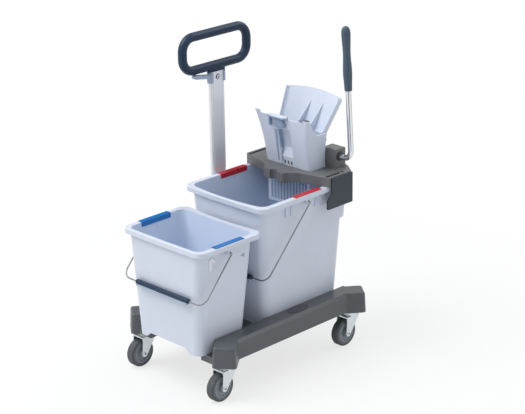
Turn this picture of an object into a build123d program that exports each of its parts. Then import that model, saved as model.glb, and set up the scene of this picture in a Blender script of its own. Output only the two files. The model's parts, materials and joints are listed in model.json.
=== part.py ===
from build123d import *
import os
from dataclasses import dataclass
from math import asin, cos, radians, sin

os.makedirs("parts", exist_ok=True)

# Mop bucket trolley: a wheeled chassis with a push post, two lift-out buckets and a
# lever wringer on the rear bucket. +X is the lever side, -Y the small bucket's side, +Z up.
# The origin is on the floor, under the middle of the whole object.

# Stance on the floor
base_y = 16.16
wheel_base = 484.0
track = 318.0

# Clearances
run_clearance = 0.1
face_gap = 0.3
fit_gap = 0.05
seat_gap = 0.2

# Casters
wheel_diameter = 80.0
wheel_width = 24.0
tyre_depth = 11.0
tyre_shoulder = 5.0
caster_height = 102.0
caster_trail = 25.0
caster_plate_diameter = 54.0
caster_plate_thickness = 3.0
caster_stem_diameter = 12.0
caster_stem_length = 36.0
kingpin_head_diameter = 17.0
kingpin_head_height = 3.5
fork_width = 41.0
fork_wall = 2.5
fork_crown_thickness = 4.0
fork_crown_front = 17.0
fork_crown_back = 30.0
fork_race_diameter = 46.0
fork_race_height = 10.0
fork_leg_end_radius = 9.0
hub_recess_depth = 6.0
hub_rim_wall = 5.0
hub_boss_diameter = 22.0
axle_diameter = 8.0
axle_head_radius = 5.0
axle_head_height = 2.4
axle_head_round = 1.6

# Chassis
rail_outer = 178.0
rail_inner = 126.0
rail_bottom = 106.0
rail_top = 160.0
rail_length = 436.0
rail_chamfer = 8.0
rail_draft_shift = 2.0
chassis_wall = 4.0
foot_angle = 38.0
foot_width = 66.0
foot_reach = 43.0
foot_back = 62.0
foot_draft = 3.0
foot_corner_radius = 11.0
foot_top_radius = 5.0
foot_boss_diameter = 26.0
inner_wall_length = 504.0
seat_thickness = 20.0
ledge_length = 45.0
ledge_inner = 100.0
ledge_outer = 150.0
ledge_setback = 27.0
end_bar_width = 38.0
end_bar_inset = 40.0
middle_bar_width = 144.0

# Push post and loop handle
post_width = 54.0
post_thickness = 14.0
post_wall = 2.5
post_offset = 55.0
post_top = 777.0
post_socket_depth = 46.0
post_socket_wall = 2.5
post_socket_rise = 8.0
post_bucket_clearance = 1.5
handle_length = 266.0
handle_height = 118.0
handle_tube = 25.0
handle_bend_radius = 37.0
handle_shift = -2.5
handle_pad_height = 8.0
handle_pad_overhang = 4.0
handle_tongue_length = 45.0
hook_clip_height = 29.0
hook_clip_drop = 2.0
hook_clip_wall = 4.0
hook_finger_length = 56.0
hook_finger_height = 10.5
hook_finger_rise = 13.5
hook_finger_lift = 9.5
handle_screw_drop = 16.0
handle_screw_head = 12.0
screw_head_diameter = 9.0
screw_head_height = 2.5
screw_shank_diameter = 4.0
plug_length = 74.0
plug_width = 35.0
plug_cap_height = 1.5
plug_flange = 3.5
plug_depth = 12.0
plug_offset = 46.0
plug_setback = 20.0

# Buckets, both
bucket_wall = 3.0
bucket_foot_height = 18.0
bucket_arch_height = 15.0
bucket_arch_flare = 20.0
bucket_arch_margin = 53.0
bucket_gap = 3.0
rim_half_width = 154.0
rim_height = 14.0
rim_wall = 3.0
rim_corner_radius = 26.0
rim_edge_radius = 2.5
lug_radius = 9.0
lug_thickness = 5.0
lug_root_width = 23.0
bail_wire_diameter = 4.0
bail_side_clearance = 1.5
bail_pin_bend = 4.0
bail_corner_bend = 26.0
bail_grip_diameter = 14.0
bail_grip_length = 205.0
bail_grip_round = 4.0
bail_fit_start = 45.0
bail_fit_rounds = 40
clip_thickness = 2.0
clip_skirt_drop = 12.0
clip_width = 17.0

# Front bucket
front_rim_top = 426.0
front_rim_depth = 222.0
front_rim_bow = 2.0
front_rim_side = 14.0
front_rim_front = 7.0
front_rim_back = 12.0
front_rim_hollow = 13.0
front_wall_hollow = 3.0
front_wall_bow = 2.0
front_wall_corner = 24.0
front_side_draft = 20.0
front_front_draft = 10.0
front_back_draft = 25.0
front_pivot_drop = 24.0
front_bail_arm = 160.0
front_clip_length = 103.0

# Rear bucket
rear_offset = 86.0
rear_rim_top = 486.0
rear_rim_depth = 365.0
rear_rim_bow = 4.5
rear_rim_side = 13.0
rear_rim_front = 14.0
rear_rim_back = 3.0
rear_wall_bow = 13.0
rear_wall_corner = 27.0
rear_side_draft = 19.0
rear_front_draft = 22.0
rear_back_draft = 21.0
rear_pivot_drop = 21.0
rear_bail_arm = 252.0
rear_clip_length = 100.0
rear_step = 15.0
rear_step_drop = 112.0

# Wringer bridge
bridge_height = 27.8
bridge_wall = 3.5
bridge_deck = 4.0
bridge_side_play = 6.0
bridge_corner_radius = 7.0
bridge_edge_radius = 2.0
bridge_bump_reach = 59.0
bridge_bump_half = 36.0
bridge_waist_half = 70.0
bridge_shoulder_half = 132.0
bridge_shoulder_reach = 10.0
bridge_rear_reach = 67.5
bridge_slot_length = 70.0
bridge_slot_width = 9.0
bridge_slot_inset = 12.0
rest_notch_radius = 13.0
block_width = 46.0
block_inner = 76.0
block_front = 16.0
block_back = 23.0
block_crown = 22.0
block_round = 4.0
side_clip_thickness = 5.0
side_clip_length = 100.0
side_clip_lead = 15.0
side_clip_drop = 61.0
side_clip_step = 18.0

# Wringer basket, sieve and jaw
chamber_offset = 162.0
chamber_depth = 60.0
chamber_half = 83.0
basket_wall = 3.0
collar_length = 46.0
collar_drop = 22.0
collar_rise = 6.0
basket_screw_pitch = 26.0
basket_corner_radius = 12.0
front_wall_height = 150.0
front_wall_lean = 25.5
front_wall_top_half = 106.0
front_wall_waist_half = 89.0
horn_width = 24.0
horn_height = 8.0
horn_round = 6.0
side_wall_height = 99.5
side_wall_front_set = 15.0
side_wall_round = 8.0
side_wall_block_gap = 4.5
collar_wall = 2.4
recess_offset = 5.0
recess_width = 44.0
recess_depth = 12.0
recess_bottom = 28.0
recess_ramp_top = 53.0
bead_width = 9.0
bead_height = 2.0
notch_offset = -19.0
notch_width = 70.0
notch_depth = 32.0
notch_round = 8.0
drain_slits = 3
drain_slit_width = 5.5
drain_slit_height = 11.0
drain_pitch = 12.5
drain_height = 10.0
latch_offset = -4.5
latch_width = 41.0
latch_height = 32.0
latch_reach = 11.0
latch_round = 8.0
latch_edge_round = 3.0
latch_lip_height = 4.0
latch_lip_overlap = 6.0
latch_lip_overhang = 2.0
latch_back = 6.0
latch_tab_height = 14.0
sieve_depth = 119.0
sieve_wall = 3.0
sieve_side_gap = 3.0
sieve_ribs = 12
sieve_slot_width = 8.0
sieve_margin = 9.0
jaw_thickness = 4.0
jaw_side_gap = 2.0
jaw_hinge_height = 10.0
jaw_rod_diameter = 6.0
jaw_barrel_radius = 6.0
flap_lean = 29.0
flap_rise = 95.9
flap_length = 104.0
flap_crown = 11.0
flap_step = 1.0
flap_top_half = 101.5
flap_corner_radius = 10.0
flap_flange = 11.0
flap_round = 7.0
flap_rib_height = 20.0
flap_rib_thickness = 3.0
flap_rib_start = 14.0
flap_rib_length = 88.0
flap_rib_drop = 6.0
flap_rib_places = (-4.5, 41.5)

# Wringer lever and its shaft
shaft_rise = 34.0
shaft_offset = 79.0
lever_tube_diameter = 16.0
lever_tube_wall = 2.0
lever_x = 165.0
lever_bend = 25.0
lever_lean = 3.8
lever_length = 380.0
grip_length = 180.0
grip_diameter = 25.0
grip_waist_diameter = 21.0
grip_belly_place = 50.0
grip_waist_place = 99.0
grip_shoulder_drop = 25.0
grip_tip_drop = 6.0
grip_tip_radius = 9.4
grip_wall_end = 6.0
finger_place = 40.0
finger_hub_radius = 13.0
finger_hub_width = 14.0
finger_arm = 32.0
finger_arm_width = 7.0
finger_roller_radius = 9.0
finger_back_angle = 35.0
finger_play = 1.0
finger_pin_diameter = 4.0
lug_plate_thickness = 10.0
lug_plate_height = 30.0
lug_plate_rise = 56.0
bush_wall = 2.0
bush_flange = 3.0
bush_flange_width = 2.0
spring_cap_diameter = 38.0
spring_cap_wall = 2.5
spring_cap_length = 22.0
spring_width = 14.0

# Places that follow from the sizes above
standing = (Align.CENTER, Align.CENTER, Align.MIN)
hanging = (Align.CENTER, Align.CENTER, Align.MAX)
across = (0, 90, 0)
across_left = (0, -90, 0)
axle_z = wheel_diameter / 2
seat_z = caster_height + seat_thickness
foot_height = rail_top - caster_height
plate_bottom = caster_height - caster_plate_thickness
race_top = plate_bottom - face_gap
crown_bottom = race_top - fork_race_height - fork_crown_thickness
fork_inside = fork_width / 2 - fork_wall
hub_diameter = wheel_diameter - 2 * tyre_depth

rear_bucket_y = base_y + rear_offset
rear_rim_front_y = rear_bucket_y - rear_rim_depth / 2
front_bucket_y = rear_rim_front_y - bucket_gap - front_rim_depth / 2
bail_arm_x = rim_half_width + bail_side_clearance + bail_wire_diameter / 2

post_x = -(bail_arm_x + bail_wire_diameter / 2 + post_bucket_clearance + post_thickness / 2)
post_y = base_y + post_offset
plug_x = rail_inner + plug_setback
plug_y = base_y + plug_offset
post_bottom = rail_top + post_socket_rise - post_socket_depth
post_screw_x = rail_draft_shift - rail_outer
post_screw_z = post_bottom + post_socket_depth / 2
post_screw_seat = Location((post_screw_x, post_y, post_screw_z), across_left)

bridge_bottom = rear_rim_top + seat_gap
bridge_top = bridge_bottom + bridge_height
bridge_half = rim_half_width + bridge_side_play
chamber_front = base_y + chamber_offset
chamber_back = chamber_front + chamber_depth
shaft_y = chamber_front + shaft_offset
shaft_z = bridge_top + shaft_rise
deck_under = bridge_top - bridge_deck
bridge_rear = chamber_back + bridge_rear_reach
block_outer = block_inner + block_width
bush_radius = lever_tube_diameter / 2 + run_clearance + bush_wall
sieve_half = chamber_half - sieve_side_gap
sieve_bottom = bridge_top - sieve_depth
jaw_half = sieve_half - sieve_wall - jaw_side_gap
jaw_hinge_y = chamber_back + jaw_thickness / 2
jaw_hinge_z = sieve_bottom + jaw_hinge_height
flap_bottom = bridge_top + flap_rise
flap_base_half = front_wall_waist_half - basket_wall
side_wall_rear = shaft_y - block_front - side_wall_block_gap
sieve_rear = jaw_hinge_y + jaw_barrel_radius + sieve_side_gap
opening_front = chamber_front + basket_wall
opening_rear = sieve_rear + jaw_side_gap


def keep(piece: BuildPart, name: str) -> None:
    """Label a finished piece and write it under its name."""
    piece.part.label = name
    export_step(piece.part, f"parts/{name}.step")


# Chassis

corners = {
    "front_left": (-1, -1),
    "front_right": (1, -1),
    "rear_left": (-1, 1),
    "rear_right": (1, 1),
}


def swivel_place(side: int, end: int) -> tuple[float, float]:
    """Plan position of a caster's swivel axis."""
    return side * track / 2, base_y + end * wheel_base / 2


def foot_plane(end: int, height: float) -> Plane:
    """Plane on a right-hand foot's swivel axis, its X axis along the splayed arm."""
    swivel_x, swivel_y = swivel_place(1, end)
    arm = (sin(radians(foot_angle)), end * cos(radians(foot_angle)), 0)
    return Plane(origin=(swivel_x, swivel_y, height), x_dir=arm, z_dir=(0, 0, 1))


def rail_section(inset: float) -> None:
    """Section of the right rail, drawn in X and Z, with its walls moved in by the inset."""
    with BuildLine() as section:
        Polyline(
            (rail_inner + inset, rail_bottom),
            (rail_outer - inset, rail_bottom),
            (rail_outer - rail_draft_shift - inset, rail_top - rail_chamfer),
            (rail_outer - rail_draft_shift - rail_chamfer - inset / 2, rail_top - inset),
            (rail_inner + inset, rail_top - inset),
            close=True,
        )
    make_face(section.edges())


front_seat_front = front_bucket_y - front_rim_depth / 2 + front_rim_front + front_front_draft
rear_seat_rear = rear_bucket_y + rear_rim_depth / 2 - rear_rim_back - rear_step - rear_back_draft
ledge_middles = (
    front_seat_front + ledge_setback + ledge_length / 2,
    rear_seat_rear - ledge_setback - ledge_length / 2,
)
end_bar_middles = (
    front_seat_front + end_bar_inset + end_bar_width,
    rear_seat_rear - end_bar_inset - end_bar_width,
)
middle_bar_y = rear_rim_front_y - bucket_gap / 2

with BuildPart() as chassis_frame:
    with BuildSketch(Plane.XZ.offset(-base_y)):
        rail_section(0)
    extrude(amount=rail_length / 2, both=True)
    for end in (-1, 1):
        with BuildPart() as foot:
            with BuildSketch(foot_plane(end, caster_height)):
                with Locations(((foot_reach - foot_back) / 2, 0)):
                    RectangleRounded(foot_reach + foot_back, foot_width, foot_corner_radius)
            extrude(amount=foot_height, taper=foot_draft)
            fillet(foot.edges().group_by(Axis.Z)[-1], foot_top_radius)
    with BuildSketch(Plane.XZ.offset(-base_y)):
        rail_section(chassis_wall)
    extrude(amount=rail_length / 2 - chassis_wall, both=True, mode=Mode.SUBTRACT)
    for end in (-1, 1):
        with BuildSketch(foot_plane(end, caster_height)):
            with Locations(((foot_reach - foot_back) / 2, 0)):
                RectangleRounded(
                    foot_reach + foot_back - 2 * chassis_wall,
                    foot_width - 2 * chassis_wall,
                    foot_corner_radius - chassis_wall,
                )
        extrude(amount=foot_height - chassis_wall, taper=foot_draft, mode=Mode.SUBTRACT)
        with Locations((*swivel_place(1, end), caster_height)):
            Cylinder(foot_boss_diameter / 2, foot_height - chassis_wall / 2, align=standing)
    with Locations((0, base_y, seat_z)):
        Box(
            2 * rail_inner,
            wheel_base + 2 * foot_back,
            rail_top,
            align=standing,
            mode=Mode.SUBTRACT,
        )
    with Locations((rail_inner + chassis_wall / 2, base_y, rail_bottom)):
        Box(chassis_wall, inner_wall_length, foot_height - chassis_wall, align=standing)
    for ledge_y in ledge_middles:
        ledge_x = (ledge_inner + ledge_outer) / 2
        with Locations((ledge_x, ledge_y, caster_height)):
            Box(ledge_outer - ledge_inner, ledge_length, seat_thickness, align=standing)
    for end in (-1, 1):
        with Locations((*swivel_place(1, end), caster_height)):
            Cylinder(
                caster_stem_diameter / 2 + fit_gap,
                caster_stem_length + seat_gap,
                align=standing,
                mode=Mode.SUBTRACT,
            )
    mirror(about=Plane.YZ)
    bar_length = 2 * rail_inner + chassis_wall
    bar_height = seat_z - rail_bottom
    for bar_y in end_bar_middles:
        with Locations((0, bar_y, rail_bottom)):
            Box(bar_length, end_bar_width, bar_height, align=standing)
    with Locations((0, middle_bar_y, rail_bottom)):
        Box(bar_length, middle_bar_width, bar_height, align=standing)
    with BuildSketch(Plane.XY.offset(rail_bottom)):
        with Locations((post_x, post_y)):
            SlotOverall(
                post_width + 2 * post_socket_wall,
                post_thickness + 2 * post_socket_wall,
                rotation=90,
            )
    extrude(amount=rail_top + post_socket_rise - rail_bottom)
    with BuildSketch(Plane.XY.offset(post_bottom)):
        with Locations((post_x, post_y)):
            SlotOverall(post_width + 2 * seat_gap, post_thickness + 2 * seat_gap, rotation=90)
    extrude(amount=post_socket_depth, mode=Mode.SUBTRACT)
    with Locations(post_screw_seat):
        Cylinder(
            screw_head_diameter / 2 + face_gap,
            2 * screw_head_height,
            align=standing,
            mode=Mode.SUBTRACT,
        )
        Cylinder(screw_shank_diameter / 2 + fit_gap, post_thickness, align=hanging, mode=Mode.SUBTRACT)
    with BuildSketch(Plane.XY.offset(rail_top - chassis_wall)):
        with Locations((plug_x, plug_y)):
            Ellipse(plug_width / 2 - plug_flange, plug_length / 2 - plug_flange)
    extrude(amount=chassis_wall, mode=Mode.SUBTRACT)
keep(chassis_frame, "chassis_frame")

with BuildPart() as socket_plug:
    with BuildSketch(Plane.XY.offset(rail_top)):
        with Locations((plug_x, plug_y)):
            Ellipse(plug_width / 2, plug_length / 2)
    extrude(amount=plug_cap_height)
    fillet(socket_plug.edges().group_by(Axis.Z)[-1], plug_cap_height / 2)
    with BuildSketch(Plane.XY.offset(rail_top)):
        with Locations((plug_x, plug_y)):
            Ellipse(
                plug_width / 2 - plug_flange - seat_gap,
                plug_length / 2 - plug_flange - seat_gap,
            )
    extrude(amount=-plug_depth)
keep(socket_plug, "socket_plug")


# Push post and loop handle

handle_screw_z = post_top - handle_screw_drop
tongue_thickness = post_thickness - 2 * (post_wall + seat_gap)
tongue_width = post_width - 2 * (post_wall + seat_gap)
post_face = post_x + post_thickness / 2

with BuildPart() as push_post:
    with BuildSketch(Plane.XY.offset(post_bottom + seat_gap)):
        with Locations((post_x, post_y)):
            SlotOverall(post_width, post_thickness, rotation=90)
            SlotOverall(
                post_width - 2 * post_wall,
                post_thickness - 2 * post_wall,
                rotation=90,
                mode=Mode.SUBTRACT,
            )
    extrude(amount=post_top - post_bottom - seat_gap)
    for screw_z in (handle_screw_z, post_screw_z):
        with Locations(Location((post_x, post_y, screw_z), across)):
            Cylinder(screw_shank_diameter / 2 + fit_gap, 2 * post_thickness, mode=Mode.SUBTRACT)
keep(push_post, "push_post")

with BuildPart() as push_handle:
    handle_y = post_y + handle_shift
    bar_bottom_z = post_top + handle_pad_height / 2 + handle_tube / 2
    half_run = (handle_length - handle_tube) / 2
    rise = handle_height - handle_tube
    with BuildLine() as loop_line:
        FilletPolyline(
            (post_x, handle_y - half_run, bar_bottom_z),
            (post_x, handle_y - half_run, bar_bottom_z + rise),
            (post_x, handle_y + half_run, bar_bottom_z + rise),
            (post_x, handle_y + half_run, bar_bottom_z),
            radius=handle_bend_radius,
            close=True,
        )
    with BuildSketch(Plane(origin=loop_line.line @ 0, z_dir=loop_line.line % 0)):
        Circle(handle_tube / 2)
    sweep(path=loop_line.line)
    with BuildSketch(Plane.XY.offset(post_top)):
        with Locations((post_x, post_y)):
            SlotOverall(
                post_width + 2 * handle_pad_overhang,
                post_thickness + handle_pad_overhang,
                rotation=90,
            )
    extrude(amount=handle_pad_height)
    with BuildSketch(Plane.XY.offset(post_top)):
        with Locations((post_x, post_y)):
            SlotOverall(tongue_width, tongue_thickness, rotation=90)
    extrude(amount=-handle_tongue_length)
    with Locations(Location((post_x, post_y, handle_screw_z), across)):
        Cylinder(screw_shank_diameter / 2 + fit_gap, 2 * post_thickness, mode=Mode.SUBTRACT)
keep(push_handle, "push_handle")

with BuildPart() as hook_clip:
    clip_top = post_top - hook_clip_drop
    with BuildSketch(Plane.XY.offset(clip_top)):
        with Locations((post_x, post_y)):
            SlotOverall(
                post_width + 2 * hook_clip_wall,
                post_thickness + 2 * hook_clip_wall,
                rotation=90,
            )
            SlotOverall(
                post_width + 2 * fit_gap,
                post_thickness + 2 * fit_gap,
                rotation=90,
                mode=Mode.SUBTRACT,
            )
        with Locations((post_face, post_y)):
            Rectangle(
                post_thickness + hook_clip_wall,
                post_width - post_thickness,
                mode=Mode.SUBTRACT,
            )
    extrude(amount=-hook_clip_height)
    finger_root_y = post_y - post_width / 2 - hook_clip_wall / 2
    finger_tip_y = finger_root_y - hook_finger_length
    finger_low = clip_top - hook_clip_height + hook_finger_rise
    with BuildSketch(Plane.YZ.offset(post_x)):
        with BuildLine():
            Polyline(
                (finger_root_y, finger_low),
                (finger_root_y, finger_low + hook_finger_height),
                (finger_tip_y, finger_low + hook_finger_lift + hook_finger_height),
                (finger_tip_y, finger_low + hook_finger_lift),
                close=True,
            )
        make_face()
        fillet(vertices().group_by(Axis.X)[0], hook_finger_height / 3)
    extrude(amount=post_thickness / 2, both=True)
    with Locations((post_x, post_y, clip_top)):
        Box(
            post_thickness + 2 * fit_gap,
            post_width - post_thickness,
            2 * hook_clip_height,
            mode=Mode.SUBTRACT,
        )
keep(hook_clip, "hook_clip")


def make_screw(name: str, seats: list[Location], reach: float, head_diameter: float) -> None:
    """Pan head screws whose heads stand on the given seats, with the shank behind."""
    with BuildPart() as screw:
        for seat in seats:
            with Locations(seat):
                Cylinder(head_diameter / 2, screw_head_height, align=standing)
                Cylinder(screw_shank_diameter / 2, reach, align=hanging)
        fillet(screw.faces().filter_by(GeomType.PLANE).edges().group_by(SortBy.RADIUS)[-1], fit_gap)
    keep(screw, name)


handle_screw_seat = Location((post_face, post_y, handle_screw_z), across)
make_screw("handle_screw", [handle_screw_seat], post_thickness, handle_screw_head)
make_screw("post_screw", [post_screw_seat], post_thickness, screw_head_diameter)


# Casters

for corner, (side, end) in corners.items():
    swivel_x, swivel_y = swivel_place(side, end)
    axle_y = swivel_y - caster_trail
    wheel_place = Location((swivel_x, axle_y, axle_z), across)

    with BuildPart() as caster_stem:
        with Locations((swivel_x, swivel_y, plate_bottom)):
            Cylinder(caster_plate_diameter / 2, caster_plate_thickness, align=standing)
        with Locations((swivel_x, swivel_y, caster_height)):
            Cylinder(caster_stem_diameter / 2, caster_stem_length, align=standing)
        with Locations((swivel_x, swivel_y, plate_bottom)):
            Cylinder(caster_stem_diameter / 2, plate_bottom - crown_bottom + face_gap, align=hanging)
        with Locations((swivel_x, swivel_y, crown_bottom - face_gap)):
            Cylinder(kingpin_head_diameter / 2, kingpin_head_height, align=hanging)
    keep(caster_stem, f"caster_{corner}_stem")

    with BuildPart() as caster_fork:
        crown_length = fork_crown_front + fork_crown_back
        crown_middle = swivel_y + (fork_crown_front - fork_crown_back) / 2
        with BuildSketch(Plane.YZ.offset(swivel_x)) as leg_shape:
            with Locations((axle_y, axle_z)):
                Circle(fork_leg_end_radius)
            with Locations((crown_middle, crown_bottom + fork_crown_thickness / 2)):
                Rectangle(crown_length, fork_crown_thickness)
            make_hull(leg_shape.edges())
        extrude(amount=fork_width / 2, both=True)
        with Locations((swivel_x, crown_middle, crown_bottom)):
            Box(2 * fork_inside, 2 * crown_length, crown_bottom, align=hanging, mode=Mode.SUBTRACT)
        with Locations((swivel_x, swivel_y, crown_bottom)):
            Cylinder(fork_race_diameter / 2, race_top - crown_bottom, align=standing)
            Cylinder(
                caster_stem_diameter / 2 + run_clearance,
                race_top - crown_bottom,
                align=standing,
                mode=Mode.SUBTRACT,
            )
        with Locations(wheel_place):
            Cylinder(axle_diameter / 2 + fit_gap, 2 * fork_width, mode=Mode.SUBTRACT)
        fillet(caster_fork.edges().group_by(Axis.Z)[-1].sort_by(SortBy.RADIUS)[-1], fork_wall)
    keep(caster_fork, f"caster_{corner}_fork")

    with BuildPart() as caster_tyre:
        with Locations(wheel_place):
            Cylinder(wheel_diameter / 2, wheel_width)
        fillet(caster_tyre.edges().filter_by(GeomType.CIRCLE), tyre_shoulder)
        with Locations(wheel_place):
            Cylinder(hub_diameter / 2, wheel_width, mode=Mode.SUBTRACT)
    keep(caster_tyre, f"caster_{corner}_tyre")

    with BuildPart() as caster_hub:
        with Locations(wheel_place):
            Cylinder(hub_diameter / 2, wheel_width - 2 * face_gap)
        for face_side in (-1, 1):
            recess_x = swivel_x + face_side * (wheel_width / 2 - face_gap - hub_recess_depth / 2)
            with Locations(Location((recess_x, axle_y, axle_z), across)):
                Cylinder(hub_diameter / 2 - hub_rim_wall, hub_recess_depth, mode=Mode.SUBTRACT)
        with Locations(wheel_place):
            Cylinder(hub_boss_diameter / 2, 2 * (fork_inside - face_gap))
            Cylinder(axle_diameter / 2 + run_clearance, fork_width, mode=Mode.SUBTRACT)
    keep(caster_hub, f"caster_{corner}_hub")

    with BuildPart() as caster_axle:
        with Locations(wheel_place):
            Cylinder(axle_diameter / 2, fork_width)
        for face_side in (-1, 1):
            with BuildSketch(Plane.YZ.offset(swivel_x + face_side * fork_width / 2)):
                with Locations((axle_y, axle_z)):
                    Circle(axle_head_radius)
            extrude(amount=face_side * axle_head_height)
        axle_ends = caster_axle.faces().sort_by(Axis.X)
        fillet(axle_ends[0].edges() + axle_ends[-1].edges(), axle_head_round)
    keep(caster_axle, f"caster_{corner}_axle")


# Buckets


def plan_outline(
    half_width: float, front_y: float, rear_y: float, bow: float, hollow: float, corner: float
) -> None:
    """Closed plan outline: straight sides, front bowed forward, back hollow or straight."""
    with BuildLine() as plan:
        Line((half_width, front_y), (half_width, rear_y + hollow))
        if hollow:
            ThreePointArc((half_width, rear_y + hollow), (0, rear_y), (-half_width, rear_y + hollow))
        else:
            Line((half_width, rear_y), (-half_width, rear_y))
        Line((-half_width, rear_y + hollow), (-half_width, front_y))
        ThreePointArc((-half_width, front_y), (0, front_y - bow), (half_width, front_y))
    make_face(plan.edges())
    fillet(vertices(), corner)


@dataclass
class Bucket:
    """One bucket's plan at its rim and how its walls draw in towards the seat."""

    name: str
    middle_y: float
    rim_top: float
    rim_depth: float
    rim_bow: float
    rim_side: float
    rim_front: float
    rim_back: float
    rim_hollow: float
    wall_bow: float
    wall_hollow: float
    wall_corner: float
    side_draft: float
    front_draft: float
    back_draft: float
    step: float
    step_drop: float
    pivot_drop: float
    bail_arm: float
    clip_length: float

    @property
    def front_y(self) -> float:
        """Front corner line of the rim, behind its bow."""
        return self.middle_y - self.rim_depth / 2 + self.rim_bow

    @property
    def rear_y(self) -> float:
        """Rear edge of the rim."""
        return self.middle_y + self.rim_depth / 2

    @property
    def pivot_z(self) -> float:
        """Height of the bail's pivots."""
        return self.rim_top - self.pivot_drop

    def depth_share(self, height: float) -> float:
        """Share of the way from the rim (0) down to the seat (1)."""
        return (self.rim_top - height) / (self.rim_top - seat_z)

    def opening_half(self) -> float:
        """Half width of the open mouth."""
        return rim_half_width - self.rim_side - bucket_wall

    def wall_front(self, height: float) -> float:
        """Outer face of the front wall at its middle."""
        corner_line = self.front_y + self.rim_front + self.front_draft * self.depth_share(height)
        return corner_line - self.wall_bow

    def rim_outline(self, inset: float) -> None:
        """Plan of the rim, moved in by the inset."""
        plan_outline(
            rim_half_width - inset,
            self.front_y + inset,
            self.rear_y - inset,
            self.rim_bow,
            self.rim_hollow,
            rim_corner_radius - inset,
        )

    def wall_outline(self, height: float, inset: float, step: float) -> None:
        """Plan of the wall at a height, moved in by the inset, stepped in at the back."""
        share = self.depth_share(height)
        plan_outline(
            rim_half_width - self.rim_side - self.side_draft * share - inset,
            self.front_y + self.rim_front + self.front_draft * share + inset,
            self.rear_y - self.rim_back - self.back_draft * share - step - inset,
            self.wall_bow,
            self.wall_hollow,
            self.wall_corner - inset,
        )

    def wall_loft(self, low: float, high: float, inset: float, step: float, mode: Mode) -> None:
        """Add or cut the tapering block between two heights."""
        sections = []
        for height in (low, high):
            with BuildSketch(Plane.XY.offset(height)) as section:
                self.wall_outline(height, inset, step)
            sections.append(section.sketch.face())
        loft(sections, mode=mode)

    def bail_angle(self) -> float:
        """Angle from straight down at which the grip lies on the front wall, in radians."""
        angle = radians(bail_fit_start)
        for _ in range(bail_fit_rounds):
            height = self.pivot_z - self.bail_arm * cos(angle)
            bar_y = self.wall_front(height) - bail_grip_diameter / 2 - face_gap
            angle = asin((self.middle_y - bar_y) / self.bail_arm)
        return angle

    def make_tub(self) -> None:
        """The moulded bucket with its folded rim, bail lugs and arched foot."""
        floor_z = seat_z + seat_gap + bucket_foot_height
        step_z = self.rim_top - self.step_drop
        with BuildPart() as tub:
            with BuildSketch(Plane.XY.offset(self.rim_top - rim_height)):
                self.rim_outline(0)
            extrude(amount=rim_height)
            fillet(tub.edges().group_by(Axis.Z)[-1], rim_edge_radius)
            with BuildSketch(Plane.XY.offset(self.rim_top - rim_height)):
                self.rim_outline(rim_wall)
            extrude(amount=rim_height - rim_wall, mode=Mode.SUBTRACT)
            self.wall_loft(seat_z + seat_gap, self.rim_top, 0, self.step, Mode.ADD)
            if self.step:
                self.wall_loft(step_z, self.rim_top, 0, 0, Mode.ADD)
                self.wall_loft(step_z + bucket_wall, self.rim_top, bucket_wall, 0, Mode.SUBTRACT)
            self.wall_loft(floor_z + bucket_wall, self.rim_top, bucket_wall, self.step, Mode.SUBTRACT)
            self.wall_loft(seat_z + seat_gap, floor_z, bucket_wall, self.step, Mode.SUBTRACT)
            arch_half = rim_half_width - self.rim_side - self.side_draft - bucket_arch_margin
            seat_front = self.front_y + self.rim_front + self.front_draft
            seat_rear = self.rear_y - self.rim_back - self.step - self.back_draft
            arch_depth = seat_rear - seat_front - 2 * bucket_arch_margin
            with BuildSketch(Plane.XZ.offset(-self.middle_y)):
                with BuildLine():
                    Polyline(
                        (-arch_half - bucket_arch_flare, seat_z),
                        (-arch_half, seat_z + bucket_arch_height),
                        (arch_half, seat_z + bucket_arch_height),
                        (arch_half + bucket_arch_flare, seat_z),
                        close=True,
                    )
                make_face()
            extrude(amount=self.rim_depth, both=True, mode=Mode.SUBTRACT)
            with Locations((0, (seat_front + seat_rear) / 2, seat_z)):
                Box(4 * rim_half_width, arch_depth, bucket_arch_height, align=standing, mode=Mode.SUBTRACT)
            for side in (-1, 1):
                lug_x = side * (rim_half_width - rim_wall)
                with BuildSketch(Plane.YZ.offset(lug_x)) as lug_shape:
                    with Locations((self.middle_y, self.pivot_z)):
                        Circle(lug_radius)
                    with Locations((self.middle_y, self.rim_top - rim_wall)):
                        Rectangle(lug_root_width, rim_wall)
                    make_hull(lug_shape.edges())
                extrude(amount=-side * lug_thickness)
            with Locations(Location((0, self.middle_y, self.pivot_z), across)):
                Cylinder(bail_wire_diameter / 2 + run_clearance, 4 * rim_half_width, mode=Mode.SUBTRACT)
        keep(tub, f"{self.name}_bucket")

    def make_clips(self) -> None:
        """The coloured clips over the inner edge of each side of the rim."""
        skirt_face = self.opening_half() - self.side_draft * clip_skirt_drop / self.rim_top - face_gap
        for side, word in ((-1, "left"), (1, "right")):
            inner_x = skirt_face - clip_thickness
            with BuildPart() as clip:
                with Locations((side * (inner_x + clip_width / 2), self.middle_y, self.rim_top)):
                    Box(clip_width, self.clip_length, clip_thickness, align=standing)
                with Locations((side * (inner_x + clip_thickness / 2), self.middle_y, self.rim_top)):
                    Box(clip_thickness, self.clip_length, clip_skirt_drop, align=hanging)
                fillet(clip.edges().filter_by(Axis.Y).group_by(Axis.Z)[-1], clip_thickness / 3)
            keep(clip, f"{self.name}_clip_{word}")

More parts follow.
